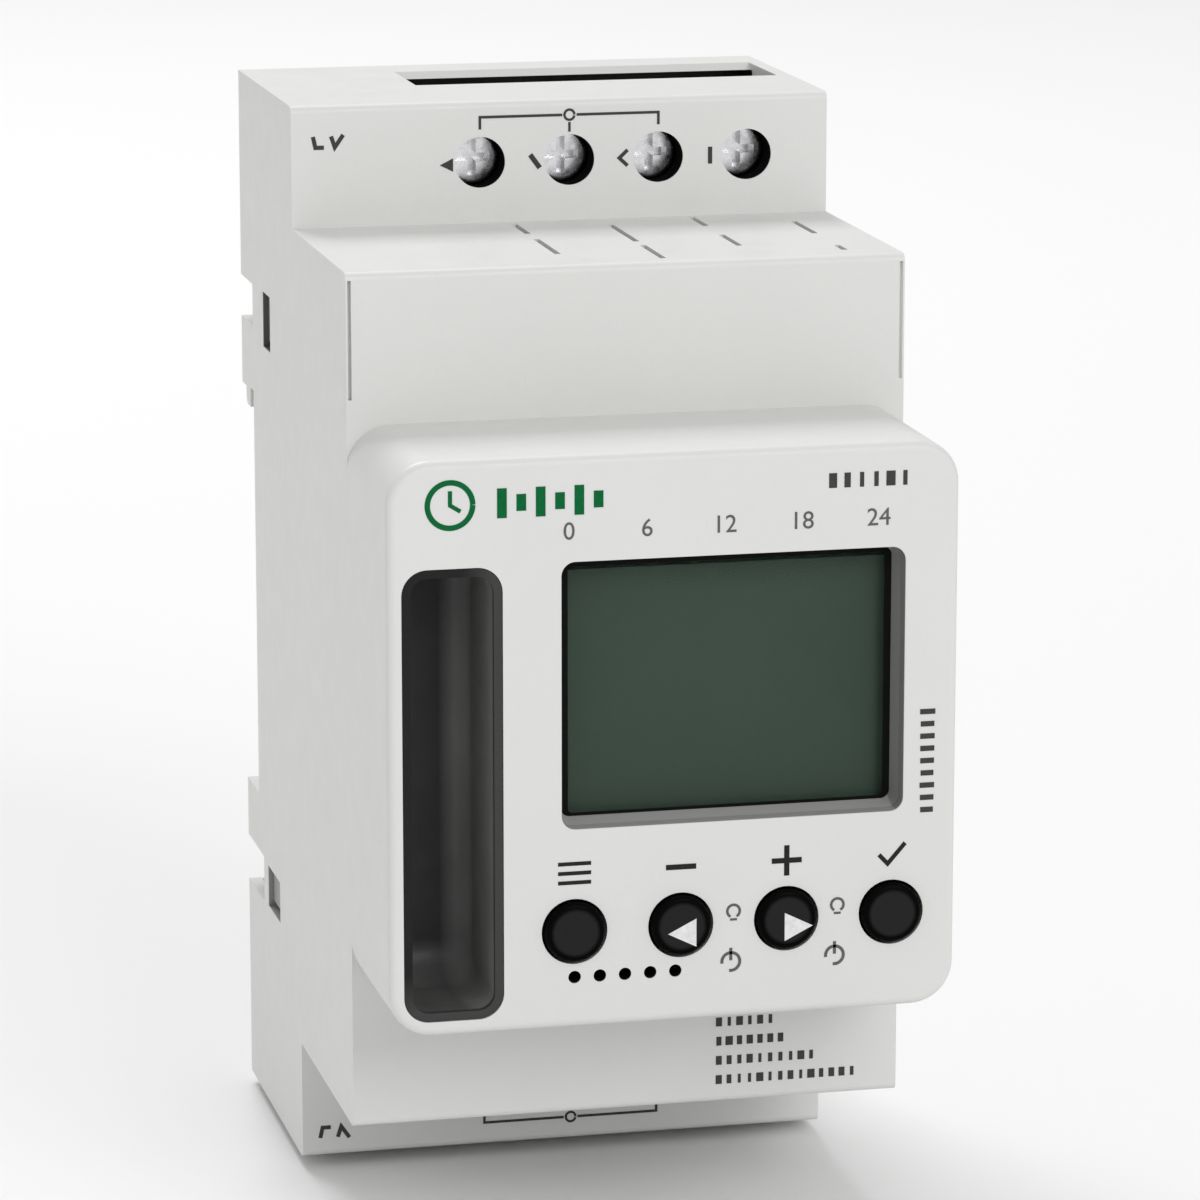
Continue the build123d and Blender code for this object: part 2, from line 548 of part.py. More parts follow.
RELAY_X = (-13.0, -0.3)
RELAY_Z = (1.5, 30.5)
RELAY_HEIGHT = 15.7

for label, side in (("relay_one", 1), ("relay_two", -1)):
    with BuildPart() as relay:
        slab(RELAY_X, (POWER_FRONT, POWER_FRONT + RELAY_HEIGHT), mirrored(RELAY_Z, side))
        fillet(relay.faces().sort_by(Axis.Y)[0].edges(), 0.6)
    finish(relay, label)

FILM_X, FILM_HALF_Z, FILM_HEIGHT = (2.0, 10.5), 9.0, 14.5

with BuildPart() as filter_capacitor:
    slab(FILM_X, (POWER_FRONT, POWER_FRONT + FILM_HEIGHT), (-FILM_HALF_Z, FILM_HALF_Z))
    fillet(filter_capacitor.edges().filter_by(Axis.Y), 0.8)
finish(filter_capacitor, "filter_capacitor")

LEAD_RADIUS = 0.4            # component leads
ROUND_PARTS_X = 9.0          # column that the capacitor and the varistor stand in
CAPACITOR_Z, CAPACITOR_RADIUS, CAPACITOR_HEIGHT = 17.0, 5.0, 16.0
CAPACITOR_CRIMP = POWER_FRONT + 12.9

with BuildPart() as smoothing_capacitor:
    rod(ROUND_PARTS_X, CAPACITOR_Z, CAPACITOR_RADIUS,
        (POWER_FRONT, POWER_FRONT + CAPACITOR_HEIGHT))
    fillet(smoothing_capacitor.faces().sort_by(Axis.Y)[0].edges(), 0.5)
    with Locations((ROUND_PARTS_X, -CAPACITOR_CRIMP, CAPACITOR_Z)):
        Torus(CAPACITOR_RADIUS + 0.1, 0.35, rotation=(90, 0, 0), mode=Mode.SUBTRACT)
finish(smoothing_capacitor, "smoothing_capacitor")

VARISTOR_Z, VARISTOR_RADIUS, VARISTOR_THICKNESS = -17.0, 5.5, 4.0

with BuildPart() as varistor:
    with Locations((ROUND_PARTS_X, -(POWER_FRONT + VARISTOR_RADIUS + 1.5), VARISTOR_Z)):
        Cylinder(VARISTOR_RADIUS, VARISTOR_THICKNESS, rotation=(0, 90, 0))
    fillet(varistor.edges().filter_by(GeomType.CIRCLE), 1.4)
    for z in (VARISTOR_Z - 2.5, VARISTOR_Z + 2.5):
        rod(ROUND_PARTS_X, z, LEAD_RADIUS, (POWER_FRONT, POWER_FRONT + 4.5))
finish(varistor, "varistor")

RESISTOR_X, RESISTOR_RADIUS, RESISTOR_LENGTH = 13.2, 2.1, 11.0
RESISTOR_SPAN = 14.2         # between its two bent leads
RESISTOR_AXIS = POWER_FRONT + RESISTOR_RADIUS + 0.5

with BuildPart() as fuse_resistor:
    with Locations((RESISTOR_X, -RESISTOR_AXIS, 0)):
        Cylinder(RESISTOR_RADIUS, RESISTOR_LENGTH)
    fillet(fuse_resistor.edges().filter_by(GeomType.CIRCLE), 0.8)
    with Locations((RESISTOR_X, -RESISTOR_AXIS, 0)):
        Cylinder(LEAD_RADIUS, RESISTOR_SPAN + 2 * LEAD_RADIUS)
    for z in (-RESISTOR_SPAN / 2, RESISTOR_SPAN / 2):
        rod(RESISTOR_X, z, LEAD_RADIUS, (POWER_FRONT, RESISTOR_AXIS + 0.3))
finish(fuse_resistor, "fuse_resistor")

BATTERY_X, BATTERY_Z, BATTERY_RADIUS = 3.0, 7.5, 10.0
BATTERY = (DISPLAY_BOARD - 4.0, DISPLAY_BOARD - 0.8)
CLIP_SHEET = 0.5
CLIP_Z = (BATTERY_Z - 2.5, BATTERY_Z + 2.5)
CLIP_LEG = (BATTERY_RADIUS + 1.5, BATTERY_RADIUS + 2.2)

with BuildPart() as battery:
    rod(BATTERY_X, BATTERY_Z, BATTERY_RADIUS, BATTERY)
    chamfer(battery.faces().sort_by(Axis.Y)[-1].edges(), 0.6)
finish(battery, "battery")

with BuildPart() as battery_clip:
    slab((BATTERY_X - CLIP_LEG[1], BATTERY_X + CLIP_LEG[1]),
         (BATTERY[0] - CLIP_SHEET, BATTERY[0]), CLIP_Z)
    for side in (1, -1):
        leg_x = tuple(BATTERY_X + value for value in mirrored(CLIP_LEG, side))
        slab(leg_x, (BATTERY[0] - CLIP_SHEET, DISPLAY_BOARD), CLIP_Z)
finish(battery_clip, "battery_clip")

CHIP_X, CHIP_Z, CHIP_HALF = 4.0, -12.0, 5.0
CHIP_LEGS, CHIP_LEG_PITCH, CHIP_LEG_WIDTH = 11, 0.8, 0.35
CHIP_SPAN = 12.0             # from leg tip to leg tip

with BuildPart() as microcontroller:
    slab((CHIP_X - CHIP_HALF, CHIP_X + CHIP_HALF), (DISPLAY_BOARD - 1.4, DISPLAY_BOARD - 0.2),
         (CHIP_Z - CHIP_HALF, CHIP_Z + CHIP_HALF))
    chamfer(microcontroller.edges().filter_by(Axis.Y), 0.8)
    with Locations((CHIP_X, -(DISPLAY_BOARD - 0.5), CHIP_Z)):
        with GridLocations(CHIP_LEG_PITCH, 0, CHIP_LEGS, 1):
            Box(CHIP_LEG_WIDTH, 1.0, CHIP_SPAN)
        with Locations(Rotation(0, 90, 0)):
            with GridLocations(CHIP_LEG_PITCH, 0, CHIP_LEGS, 1):
                Box(CHIP_LEG_WIDTH, 1.0, CHIP_SPAN)
finish(microcontroller, "microcontroller")

CRYSTAL_X, CRYSTAL_Z, CRYSTAL_HEIGHT = (-9.0, -5.5), (-17.5, -7.0), 3.4

with BuildPart() as crystal:
    slab(CRYSTAL_X, (DISPLAY_BOARD - CRYSTAL_HEIGHT, DISPLAY_BOARD), CRYSTAL_Z)
    fillet(crystal.edges().filter_by(Axis.Y), 1.6)
finish(crystal, "crystal")


# ---------------------------------------------------------------- terminals
BLOCK_AHEAD = (1.0, 18.4)
BLOCK_Z = (33.5, TOP_INSIDE - FIT)
BLOCK_FOOT = (REAR + WALL + FIT, BLOCK_AHEAD[0])     # rests on the base behind the cells
BLOCK_FOOT_Z = (38.0, BLOCK_Z[1])
CELL_WALL = 0.8
CAGE_HALF, CAGE_WALL, CAGE_FLOOR = 2.9, 0.6, 1.0
CAGE_Z = (36.9, 42.1)
CAGE_AHEAD = (3.2, 11.2)     # clamp open
CELL_GAP = 0.2
BAR_AHEAD = (8.7, POWER_BOARD)
BAR_Z, BAR_HALF = (30.0, 42.0), 1.9
SCREW_HEAD = (15.2, 16.9)
HEAD_RADIUS = 2.25
SHANK_RADIUS = 1.45

for label, side in (("terminal_block_upper", 1), ("terminal_block_lower", -1)):
    with BuildPart() as terminal_block:
        block_x = (TERMINAL_X[0] - TERMINAL_PITCH / 2 - CELL_WALL, WIRE_SLOT_X[1] - FIT)
        slab(block_x, BLOCK_AHEAD, mirrored(BLOCK_Z, side))
        if side > 0:
            slab(block_x, BLOCK_FOOT, mirrored(BLOCK_FOOT_Z, side))
        for x in TERMINAL_X:
            slab((x - CAGE_HALF - CELL_GAP, x + CAGE_HALF + CELL_GAP),
                 (CAGE_AHEAD[0] - CELL_GAP, CAGE_AHEAD[1] + CLAMP_TRAVEL + FIT),
                 mirrored((CAGE_Z[0] - CELL_GAP, BLOCK_Z[1] + 1), side), Mode.SUBTRACT)
            rod(x, side * TERMINAL_Z, HEAD_RADIUS + 0.15, (SCREW_HEAD[0] - FIT, 20), Mode.SUBTRACT)
            rod(x, side * TERMINAL_Z, SHANK_RADIUS + 0.15, (12, 20), Mode.SUBTRACT)
            slab((x - BAR_HALF - FIT, x + BAR_HALF + FIT), widen(BAR_AHEAD, FIT),
                 mirrored((BLOCK_Z[0] - 1, CAGE_Z[0]), side), Mode.SUBTRACT)
    finish(terminal_block, label)

for label, side in (("contact_bars_upper", 1), ("contact_bars_lower", -1)):
    with BuildPart() as contact_bars:
        for x in TERMINAL_X:
            slab((x - BAR_HALF, x + BAR_HALF), BAR_AHEAD, mirrored(BAR_Z, side))
    finish(contact_bars, label)

for number in range(2 * len(TERMINAL_X)):
    x = TERMINAL_X[number % len(TERMINAL_X)]
    z = TERMINAL_Z if number < len(TERMINAL_X) else -TERMINAL_Z
    with BuildPart() as terminal_screw:
        rod(x, z, HEAD_RADIUS, SCREW_HEAD)
        fillet(terminal_screw.faces().sort_by(Axis.Y)[0].edges(), 0.35)
        rod(x, z, SHANK_RADIUS, (BAR_AHEAD[1] + 0.05, SCREW_HEAD[0]))
        cross_recess(x, z, 1.5, 0.35, (SCREW_HEAD[1] - 0.9, SCREW_HEAD[1] + 1))
    finish(terminal_screw, f"terminal_screw_{number + 1}")
    with BuildPart() as clamp_cage:
        cage_z = (z - (CAGE_Z[1] - CAGE_Z[0]) / 2, z + (CAGE_Z[1] - CAGE_Z[0]) / 2)
        slab((x - CAGE_HALF, x + CAGE_HALF), CAGE_AHEAD, cage_z)
        fillet(clamp_cage.edges().filter_by(Axis.Z), 0.5)
        slab((x - CAGE_HALF + CAGE_WALL, x + CAGE_HALF - CAGE_WALL),
             (CAGE_AHEAD[0] + CAGE_FLOOR, CAGE_AHEAD[1] - 1.4), widen(cage_z, 1), Mode.SUBTRACT)
        rod(x, z, SHANK_RADIUS + 0.05, (CAGE_AHEAD[1] - 2, CAGE_AHEAD[1] + 1), Mode.SUBTRACT)
    finish(clamp_cage, f"clamp_cage_{number + 1}")
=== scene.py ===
# %% [markdown]
# # A digital time switch for a rail
#
# The imported model already holds every working piece at its true place and size: two
# housing shells, the display stack, push buttons, screw terminals and a sprung latch.
# This lesson dresses it. No CAD piece is moved or reshaped. Each one gets a finish built
# from nodes, and the things that a factory adds last, such as printed signs and header pins,
# become thin meshes that ride on the same bodies.

# %% Load the imported model
import json
import math

import bmesh
import bpy
from mathutils import Matrix, Vector


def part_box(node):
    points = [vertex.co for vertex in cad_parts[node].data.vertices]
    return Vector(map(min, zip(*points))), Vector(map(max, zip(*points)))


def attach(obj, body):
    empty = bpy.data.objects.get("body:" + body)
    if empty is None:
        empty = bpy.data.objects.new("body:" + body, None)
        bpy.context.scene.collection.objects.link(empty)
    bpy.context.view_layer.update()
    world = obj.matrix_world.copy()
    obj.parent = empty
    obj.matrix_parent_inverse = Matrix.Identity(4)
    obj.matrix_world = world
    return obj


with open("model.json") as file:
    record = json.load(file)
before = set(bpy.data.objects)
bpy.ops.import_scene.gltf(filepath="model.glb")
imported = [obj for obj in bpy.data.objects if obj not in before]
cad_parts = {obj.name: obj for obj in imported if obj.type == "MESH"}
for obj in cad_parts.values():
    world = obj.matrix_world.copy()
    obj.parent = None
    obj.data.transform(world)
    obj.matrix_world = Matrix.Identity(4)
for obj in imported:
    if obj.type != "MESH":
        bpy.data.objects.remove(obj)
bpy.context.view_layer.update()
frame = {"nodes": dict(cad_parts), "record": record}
nodes = frame["nodes"]
scene = bpy.context.scene
MM = 0.001

# %% [markdown]
# ## Planes to work from
#
# Signs are printed on three flat fronts that step back from the nose. The cover's box
# gives the nose, and the terminal screws give the rows. The cover's box can't give the two
# other fronts, so they are written as plain distances, the same as in the CAD.

# %% Read the fronts and the rows
cover_low, cover_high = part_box("housing_cover")
NOSE_FRONT = cover_low.y
SHOULDER_FRONT = -44.0 * MM
SHROUD_FRONT = -20.3 * MM


def middle(node):
    """The centre of a CAD node's box."""
    low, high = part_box(node)
    return (low + high) / 2


screw_x = [middle(f"terminal_screw_{number}").x / MM for number in range(1, 5)]
screw_z = middle("terminal_screw_1").z / MM
button_x = {name: middle(f"button_{name}").x / MM for name in ("menu", "minus", "plus", "ok")}
button_z = middle("button_menu").z / MM
print("screws at", [round(x, 2) for x in screw_x], "row height", round(screw_z, 2))

# %% [markdown]
# ## Camera
#
# A long lens from the left and a little above keeps the box's edges almost parallel, as in
# a catalogue. The camera is turned by two angles only, so it stays upright.

# %% Place the camera
CAMERA_PLACE = Vector((-99.92, -464.59, 101.73)) * MM
CAMERA_YAW, CAMERA_PITCH = 13.07, 12.29
camera = bpy.data.objects.new("camera", bpy.data.cameras.new("camera"))
camera.data.lens = 167.5
camera.data.sensor_width = 36.0
camera.data.clip_start = 0.05
camera.data.clip_end = 20.0
camera.location = CAMERA_PLACE
camera.rotation_euler = (math.radians(90 - CAMERA_PITCH), 0, math.radians(-CAMERA_YAW))
scene.collection.objects.link(camera)
scene.camera = camera
print("camera", round(camera.location.length, 3), "m from the rail plane")

# %% [markdown]
# ## Studio
#
# The floor is pale and wide enough to fill the view, and the light is soft. More than half
# of it comes from an even white sky, which leaves the inner corners of the steps a little
# darker. A large panel behind and well above lights the tops, and its soft shadow falls
# forward from each step onto the next. A front panel near the camera's height evens out the
# fronts. The standard view transform keeps the greys as they are mixed.

# %% Light and floor
SKY = 0.62
scene.view_settings.view_transform = "Standard"
world = bpy.data.worlds.new("studio")
world.use_nodes = True
world.node_tree.nodes["Background"].inputs["Color"].default_value = (1, 1, 1, 1)
world.node_tree.nodes["Background"].inputs["Strength"].default_value = SKY
scene.world = world


def soft_panel(name, place, target, size, power):
    """A square area light that looks at a point."""
    light = bpy.data.objects.new(name, bpy.data.lights.new(name, "AREA"))
    light.data.size = size
    light.data.energy = power
    light.location = place
    light.rotation_euler = (Vector(target) - Vector(place)).to_track_quat("-Z", "Y").to_euler()
    scene.collection.objects.link(light)
    return light


soft_panel("rear_panel", (-0.12, 0.80, 1.15), (0, -0.02, 0), 0.6, 9.0)
soft_panel("front_panel", (0.32, -1.18, 0.66), (0, -0.02, 0), 0.6, 6.0)


def flat_square(name, half, height):
    """A square in a level plane."""
    mesh = bpy.data.meshes.new(name)
    corners = [(-half, -half, height), (half, -half, height),
               (half, half, height), (-half, half, height)]
    mesh.from_pydata(corners, [], [(0, 1, 2, 3)])
    square = bpy.data.objects.new(name, mesh)
    scene.collection.objects.link(square)
    return square


lowest = min(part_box(name)[0].z for name in nodes)
floor = flat_square("floor", 6.0, lowest - 0.02 * MM)
print("floor at", round(lowest / MM, 2), "mm")

# %% [markdown]
# ## Finishes
#
# Every finish starts from the same few nodes. Object coordinates are in metres, so a
# grain of a tenth of a millimetre is a noise with a scale of ten thousand. One noise
# shifts the colour a little over centimetres, a second varies the gloss, and a third is
# the grain that the tool left in the mould. What is the same all over is set on the
# shader's own sockets.

# %% Finish helpers


class Finish:
    """A Principled material with object coordinates ready to use."""

    def __init__(self, name, colour, roughness, metallic=0.0, **sockets):
        self.material = bpy.data.materials.new(name)
        self.material.use_nodes = True
        self.tree = self.material.node_tree
        self.shader = self.tree.nodes["Principled BSDF"]
        self.place = self.tree.nodes.new("ShaderNodeTexCoord").outputs["Object"]
        self.shader.inputs["Base Color"].default_value = (*colour, 1)
        self.shader.inputs["Roughness"].default_value = roughness
        self.shader.inputs["Metallic"].default_value = metallic
        for socket, value in sockets.items():
            self.shader.inputs[socket.replace("_", " ")].default_value = value
        self.colour = colour
        self.height = None

    def node(self, kind, **inputs):
        """Adds a node and fills its inputs, by value or by link."""
        node = self.tree.nodes.new(kind)
        for key, value in inputs.items():
            socket = node.inputs[key.replace("_", " ")]
            if isinstance(value, bpy.types.NodeSocket):
                self.tree.links.new(value, socket)
            else:
                socket.default_value = value
        return node

    def noise(self, size, detail=2.0, stretch=(1, 1, 1)):
        """A noise whose blotches are about `size` metres wide."""
        mapping = self.node("ShaderNodeMapping", Vector=self.place, Scale=stretch)
        return self.node("ShaderNodeTexNoise", Vector=mapping.outputs["Vector"],
                         Scale=1 / size, Detail=detail).outputs["Fac"]

    def spread(self, value, low, high, start=0.3, end=0.7):
        """Maps a noise to a range of values."""
        node = self.node("ShaderNodeMapRange", Value=value)
        for key, number in (("From Min", start), ("From Max", end),
                            ("To Min", low), ("To Max", high)):
            node.inputs[key].default_value = number
        return node.outputs["Result"]

    def blend(self, factor, first, second):
        """Mixes two colours, given as values or sockets."""
        node = self.tree.nodes.new("ShaderNodeMix")
        node.data_type = "RGBA"
        self.tree.links.new(factor, node.inputs["Factor"])
        for socket, colour in ((node.inputs[6], first), (node.inputs[7], second)):
            if isinstance(colour, bpy.types.NodeSocket):
                self.tree.links.new(colour, socket)
            else:
                socket.default_value = (*colour, 1)
        return node.outputs[2]

    def paint(self, colour):
        """Links a colour to the shader."""
        self.tree.links.new(colour, self.shader.inputs["Base Color"])

    def tint(self, size, amount):
        """Slow drift of the base colour."""
        low = [channel * (1 - amount) for channel in self.colour]
        high = [min(1, channel * (1 + amount)) for channel in self.colour]
        self.paint(self.blend(self.noise(size), low, high))

    def gloss(self, size, low, high, **noise):
        """Uneven roughness."""
        value = self.spread(self.noise(size, **noise), low, high)
        self.tree.links.new(value, self.shader.inputs["Roughness"])

    def grain(self, size, depth, strength=1.0, **noise):
        """Fine relief, `depth` metres high."""
        self.relief(self.noise(size, detail=3.0, **noise), depth, strength)

    def maths(self, operation, first, second=0.0):
        """One Math node, with sockets or numbers as inputs."""
        node = self.tree.nodes.new("ShaderNodeMath")
        node.operation = operation
        for socket, value in zip(node.inputs, (first, second)):
            if isinstance(value, bpy.types.NodeSocket):
                self.tree.links.new(value, socket)
            else:
                socket.default_value = value
        return node.outputs[0]

    def between(self, value, low, high):
        """1 where a value lies between two bounds, else 0."""
        above = self.maths("GREATER_THAN", value, low)
        below = self.maths("LESS_THAN", value, high)
        return self.maths("MULTIPLY", above, below)

    def axes(self):
        """The object coordinates as three sockets."""
        return self.node("ShaderNodeSeparateXYZ", Vector=self.place).outputs

    def relief(self, height, depth, strength=1.0):
        """Adds one more bump on top of those that are there."""
        bump = self.node("ShaderNodeBump", Height=height, Distance=depth, Strength=strength)
        if self.height:
            self.tree.links.new(self.height, bump.inputs["Normal"])
        self.height = bump.outputs["Normal"]
        self.tree.links.new(self.height, self.shader.inputs["Normal"])


def moulded(name, colour, roughness=0.5, grain=0.14, depth=0.012, drift=0.02, shine=0.5):
    """Plain moulded plastic: spark-eroded grain, slow colour drift and uneven gloss."""
    finish = Finish(name, colour, roughness, Specular_IOR_Level=shine)
    finish.tint(9 * MM, drift)
    finish.gloss(2.5 * MM, roughness - 0.06, roughness + 0.06)
    finish.grain(grain * MM, depth * MM)
    return finish


def plated(name, colour, roughness=0.3, stretch=(1, 1, 1)):
    """Plated or drawn metal: fine streaks and small dull patches."""
    finish = Finish(name, colour, roughness, metallic=1.0)
    finish.tint(1.6 * MM, 0.08)
    finish.gloss(0.8 * MM, roughness - 0.06, roughness + 0.1)
    finish.grain(0.25 * MM, 0.0012 * MM, stretch=stretch)
    return finish


def cast_epoxy(name, colour, roughness=0.3):
    """Dipped or cast resin: smooth, glossy and a little wavy."""
    finish = Finish(name, colour, roughness, Coat_Weight=0.3)
    finish.tint(3 * MM, 0.12)
    finish.gloss(1.5 * MM, roughness - 0.08, roughness + 0.1)
    finish.grain(1.6 * MM, 0.04 * MM)
    return finish


print("finish helpers ready")

# %% [markdown]
# ## The housing's plastic
#
# Both shells are moulded in the same light warm grey. The grain is so fine that it only
# takes the shine off. The walls of the screw holes and of the test holes are set almost
# black, as painted shade. A distance from each hole's axis finds them: the ping-pong of X
# gives the way to the nearest of several evenly spaced axes, so eight bores take no more
# nodes than one. The walls round the display are set darker, most of all the right one, and
# the snap windows and the pocket behind the upper slot are darkened in plain boxes: all of
# this is painted shade. The two seams are lightened with painted light, as their walls would
# otherwise read as deep cuts. These tones are painted light and shade chosen for the look.
# They are not separate plastics. A hole's wall also loses its shine.

# %% Housing finish
HOUSING_GREY = (0.70, 0.70, 0.685)
# Near black: the terminal plastic's own colour, and painted shade in the holes and in the pocket
# behind the slot.
SHADE_AND_TERMINAL_BLACK = (0.012, 0.012, 0.012)
housing = moulded("housing_plastic", HOUSING_GREY, roughness=0.46)
along_x, along_y, along_z = housing.axes()
from_middle = housing.maths("ABSOLUTE", along_z)


def hole_mask(places_x, level, axis_z, radius, front):
    """1 inside a row of evenly spaced holes in a front wall."""
    from_first = housing.maths("SUBTRACT", along_x, places_x[0] * MM)
    aside = housing.maths("PINGPONG", from_first, (places_x[1] - places_x[0]) / 2 * MM)
    above = housing.maths("SUBTRACT", level, axis_z * MM)
    square = housing.maths("ADD", housing.maths("MULTIPLY", aside, aside),
                           housing.maths("MULTIPLY", above, above))
    inside = housing.maths("LESS_THAN", square, (radius * MM) ** 2)
    through = housing.between(along_y, front + LIP, front + HOLE_DEPTH)
    inside = housing.maths("MULTIPLY", inside, through)
    row = housing.between(along_x, (places_x[0] - radius) * MM, (places_x[-1] + radius) * MM)
    return housing.maths("MULTIPLY", inside, row)


TEST_X = [-8.0 + 2.0 * place for place in range(5)]
TEST_DROP = 3.65
BORE_RADIUS, TEST_RADIUS = 2.3, 0.56      # a little over the holes, to take in their walls
LIP, HOLE_DEPTH = 0.12 * MM, 2.5 * MM
# Painted shade: the walls of the screw bores and the test holes are painted almost black.
bores = hole_mask(screw_x, from_middle, screw_z, BORE_RADIUS, SHROUD_FRONT)
tests = hole_mask(TEST_X, along_z, button_z - TEST_DROP, TEST_RADIUS, NOSE_FRONT)
holes = housing.maths("MAXIMUM", bores, tests)

window_low, window_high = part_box("display_window")
opening = housing.between(along_y, NOSE_FRONT + LIP, window_low.y + LIP)
opening = housing.maths("MULTIPLY", opening, housing.between(along_x, window_low.x, window_high.x))
opening = housing.maths("MULTIPLY", opening, housing.between(along_z, window_low.z, window_high.z))
# Painted shade: the walls of the display opening are darkened, the right wall most of all.
right_wall = housing.maths("GREATER_THAN", along_x, window_high.x - 1.6 * MM)
opening_wall_shade = housing.blend(right_wall, (0.38, 0.38, 0.375), (0.24, 0.24, 0.236))
base_grey = housing.shader.inputs["Base Color"].links[0].from_socket
housing.paint(housing.blend(holes, housing.blend(opening, base_grey, opening_wall_shade), SHADE_AND_TERMINAL_BLACK))


def repaint(x, y, z, colour, both=True):
    """Paints the housing inside a box in millimetres, on both sides where x is above 0."""
    inside = housing.between(along_y, y[0] * MM, y[1] * MM)
    inside = housing.maths("MULTIPLY", inside, housing.between(along_z, z[0] * MM, z[1] * MM))
    across = housing.maths("ABSOLUTE", along_x) if both and x[0] > 0 else along_x
    inside = housing.maths("MULTIPLY", inside, housing.between(across, x[0] * MM, x[1] * MM))
    before = housing.shader.inputs["Base Color"].links[0].from_socket
    housing.paint(housing.blend(inside, before, colour))


SIDE_WALL = (21.0, 22.45)
SEAM_FRONT, SEAM_Z = (-43.92, -43.0), (24.4, 34.0)
# Painted shade in the snap windows and in the pocket behind the upper slot.
repaint(SIDE_WALL, (-9.1, -5.4), (22.3, 27.2), (0.11, 0.11, 0.108))        # upper snap windows
repaint(SIDE_WALL, (-10.6, -4.5), (-26.8, -23.0), (0.30, 0.30, 0.295))     # lower snap windows
repaint((-9.95, 21.4), (-0.4, 4.3), (42.6, 43.92), SHADE_AND_TERMINAL_BLACK)             # pocket behind the slot
# Painted light: the walls of the two seams are lightened, the right one more.
repaint((-22.5, -22.0), SEAM_FRONT, SEAM_Z, (0.80, 0.80, 0.79))
repaint((22.0, 22.5), SEAM_FRONT, SEAM_Z, (0.95, 0.95, 0.94), both=False)
matt = housing.spread(holes, 0.5, 0.0, start=0, end=1)
housing.tree.links.new(matt, housing.shader.inputs["Specular IOR Level"])

latch_grey = moulded("latch_plastic", (0.62, 0.62, 0.60), roughness=0.4)
terminal_black = moulded("terminal_plastic", SHADE_AND_TERMINAL_BLACK, roughness=0.5, shine=0.2)
frame_white = moulded("white_frame", (0.78, 0.78, 0.75), roughness=0.45)
black = moulded("black_plastic", (0.008, 0.008, 0.008), roughness=0.42, grain=0.2, shine=0.18)
print("moulded plastics:", housing.material.name, latch_grey.material.name)

# %% [markdown]
# ## Button caps
#
# The flat of each cap is set a little greyer than its rounded edge, whose darker colour is
# painted shade from the hole round the cap. The distance from the cap's axis parts the two,
# with a soft step between them.

# %% Cap finish
caps = {}
for key, x in button_x.items():
    cap = moulded(f"cap_{key}", (0.0075, 0.0075, 0.0075), roughness=0.42, grain=0.2, shine=0.18)
    cap_x, _, cap_z = cap.axes()
    offset = cap.node("ShaderNodeCombineXYZ", X=cap.maths("SUBTRACT", cap_x, x * MM),
                      Z=cap.maths("SUBTRACT", cap_z, button_z * MM))
    reach = cap.node("ShaderNodeVectorMath", Vector=offset.outputs["Vector"])
    reach.operation = "LENGTH"
    # Painted shade: each cap's rounded edge is made darker, as the shade of the hole round it.
    edge = cap.spread(reach.outputs["Value"], 0.0, 1.0, start=1.65 * MM, end=1.95 * MM)
    flat = cap.shader.inputs["Base Color"].links[0].from_socket
    cap.paint(cap.blend(edge, flat, (0.0012, 0.0012, 0.0012)))
    cap.tree.links.new(cap.spread(edge, 0.18, 0.03, start=0, end=1),
                       cap.shader.inputs["Specular IOR Level"])
    caps[f"button_{key}"] = cap
print("caps:", ", ".join(caps))

# %% [markdown]
# ## The key slot's liner
#
# The pocket for the plug-in key is lined with a black moulding. Its rim is deep black,
# darkest at the left and top, as painted shade. The right wall and the lower end are set to
# a dull grey as painted light, and the floor stays dark. The right wall and the lower end are
# set to a dull grey, as rubbing would leave them, and the floor stays dark. Three ramps along
# the axes describe it.

# %% Liner finish
liner_low, liner_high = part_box("key_slot_liner")
liner = Finish("liner_plastic", (0.010, 0.010, 0.010), 0.4, Specular_IOR_Level=0.2)
liner_x, liner_y, liner_z = liner.axes()
RIM = liner_low.y + 0.25 * MM
below_rim = liner.spread(liner_y, 0.0, 1.0, start=RIM, end=RIM + 0.5 * MM)
tab_edge = liner_high.x - 0.9 * MM
right = liner.spread(liner_x, 0.09, 1.0, start=tab_edge - 3.0 * MM, end=tab_edge - 0.7 * MM)
low_end = liner.spread(liner_z, 1.0, 0.0, start=liner_low.z + 0.7 * MM, end=liner_low.z + 4 * MM)
# Painted light and shade: the liner is made lighter towards its right wall and lower end, and darkest
# at the rim and on the left.
painted_light_ramps = liner.maths("ADD", right, liner.maths("MULTIPLY", low_end, 0.22))
cloud = liner.spread(liner.noise(4 * MM, stretch=(1, 1, 0.4)), 0.85, 1.15)
painted_light = liner.maths("MULTIPLY", liner.maths("MULTIPLY", below_rim, painted_light_ramps), cloud)
rim = liner.blend(liner.maths("MAXIMUM", right, low_end), (0.004, 0.004, 0.004),
                  (0.045, 0.045, 0.044))
liner.paint(liner.blend(painted_light, rim, (0.26, 0.26, 0.255)))
liner.gloss(3 * MM, 0.34, 0.50)
liner.grain(0.2 * MM, 0.010 * MM)
print("liner rim ends", round((RIM - liner_low.y) / MM, 2), "mm behind its front")

# %% [markdown]
# ## Display
#
# A blank reflective display is a dull grey-green sheet. Its polariser gives it a soft
# sheen. No segment is drawn, lit or unlit. The window in front is clear, so it is mostly
# alpha with a little gloss. A sheet of real glass in front would hide the
# panel from the lamps and turn it black.

# %% Display finishes
panel_finish = Finish("lcd_glass", (0.064, 0.096, 0.073), 0.4, Specular_IOR_Level=0.1)
panel_finish.tint(16 * MM, 0.10)
panel_finish.gloss(6 * MM, 0.36, 0.44)
panel_finish.grain(3 * MM, 0.002 * MM)

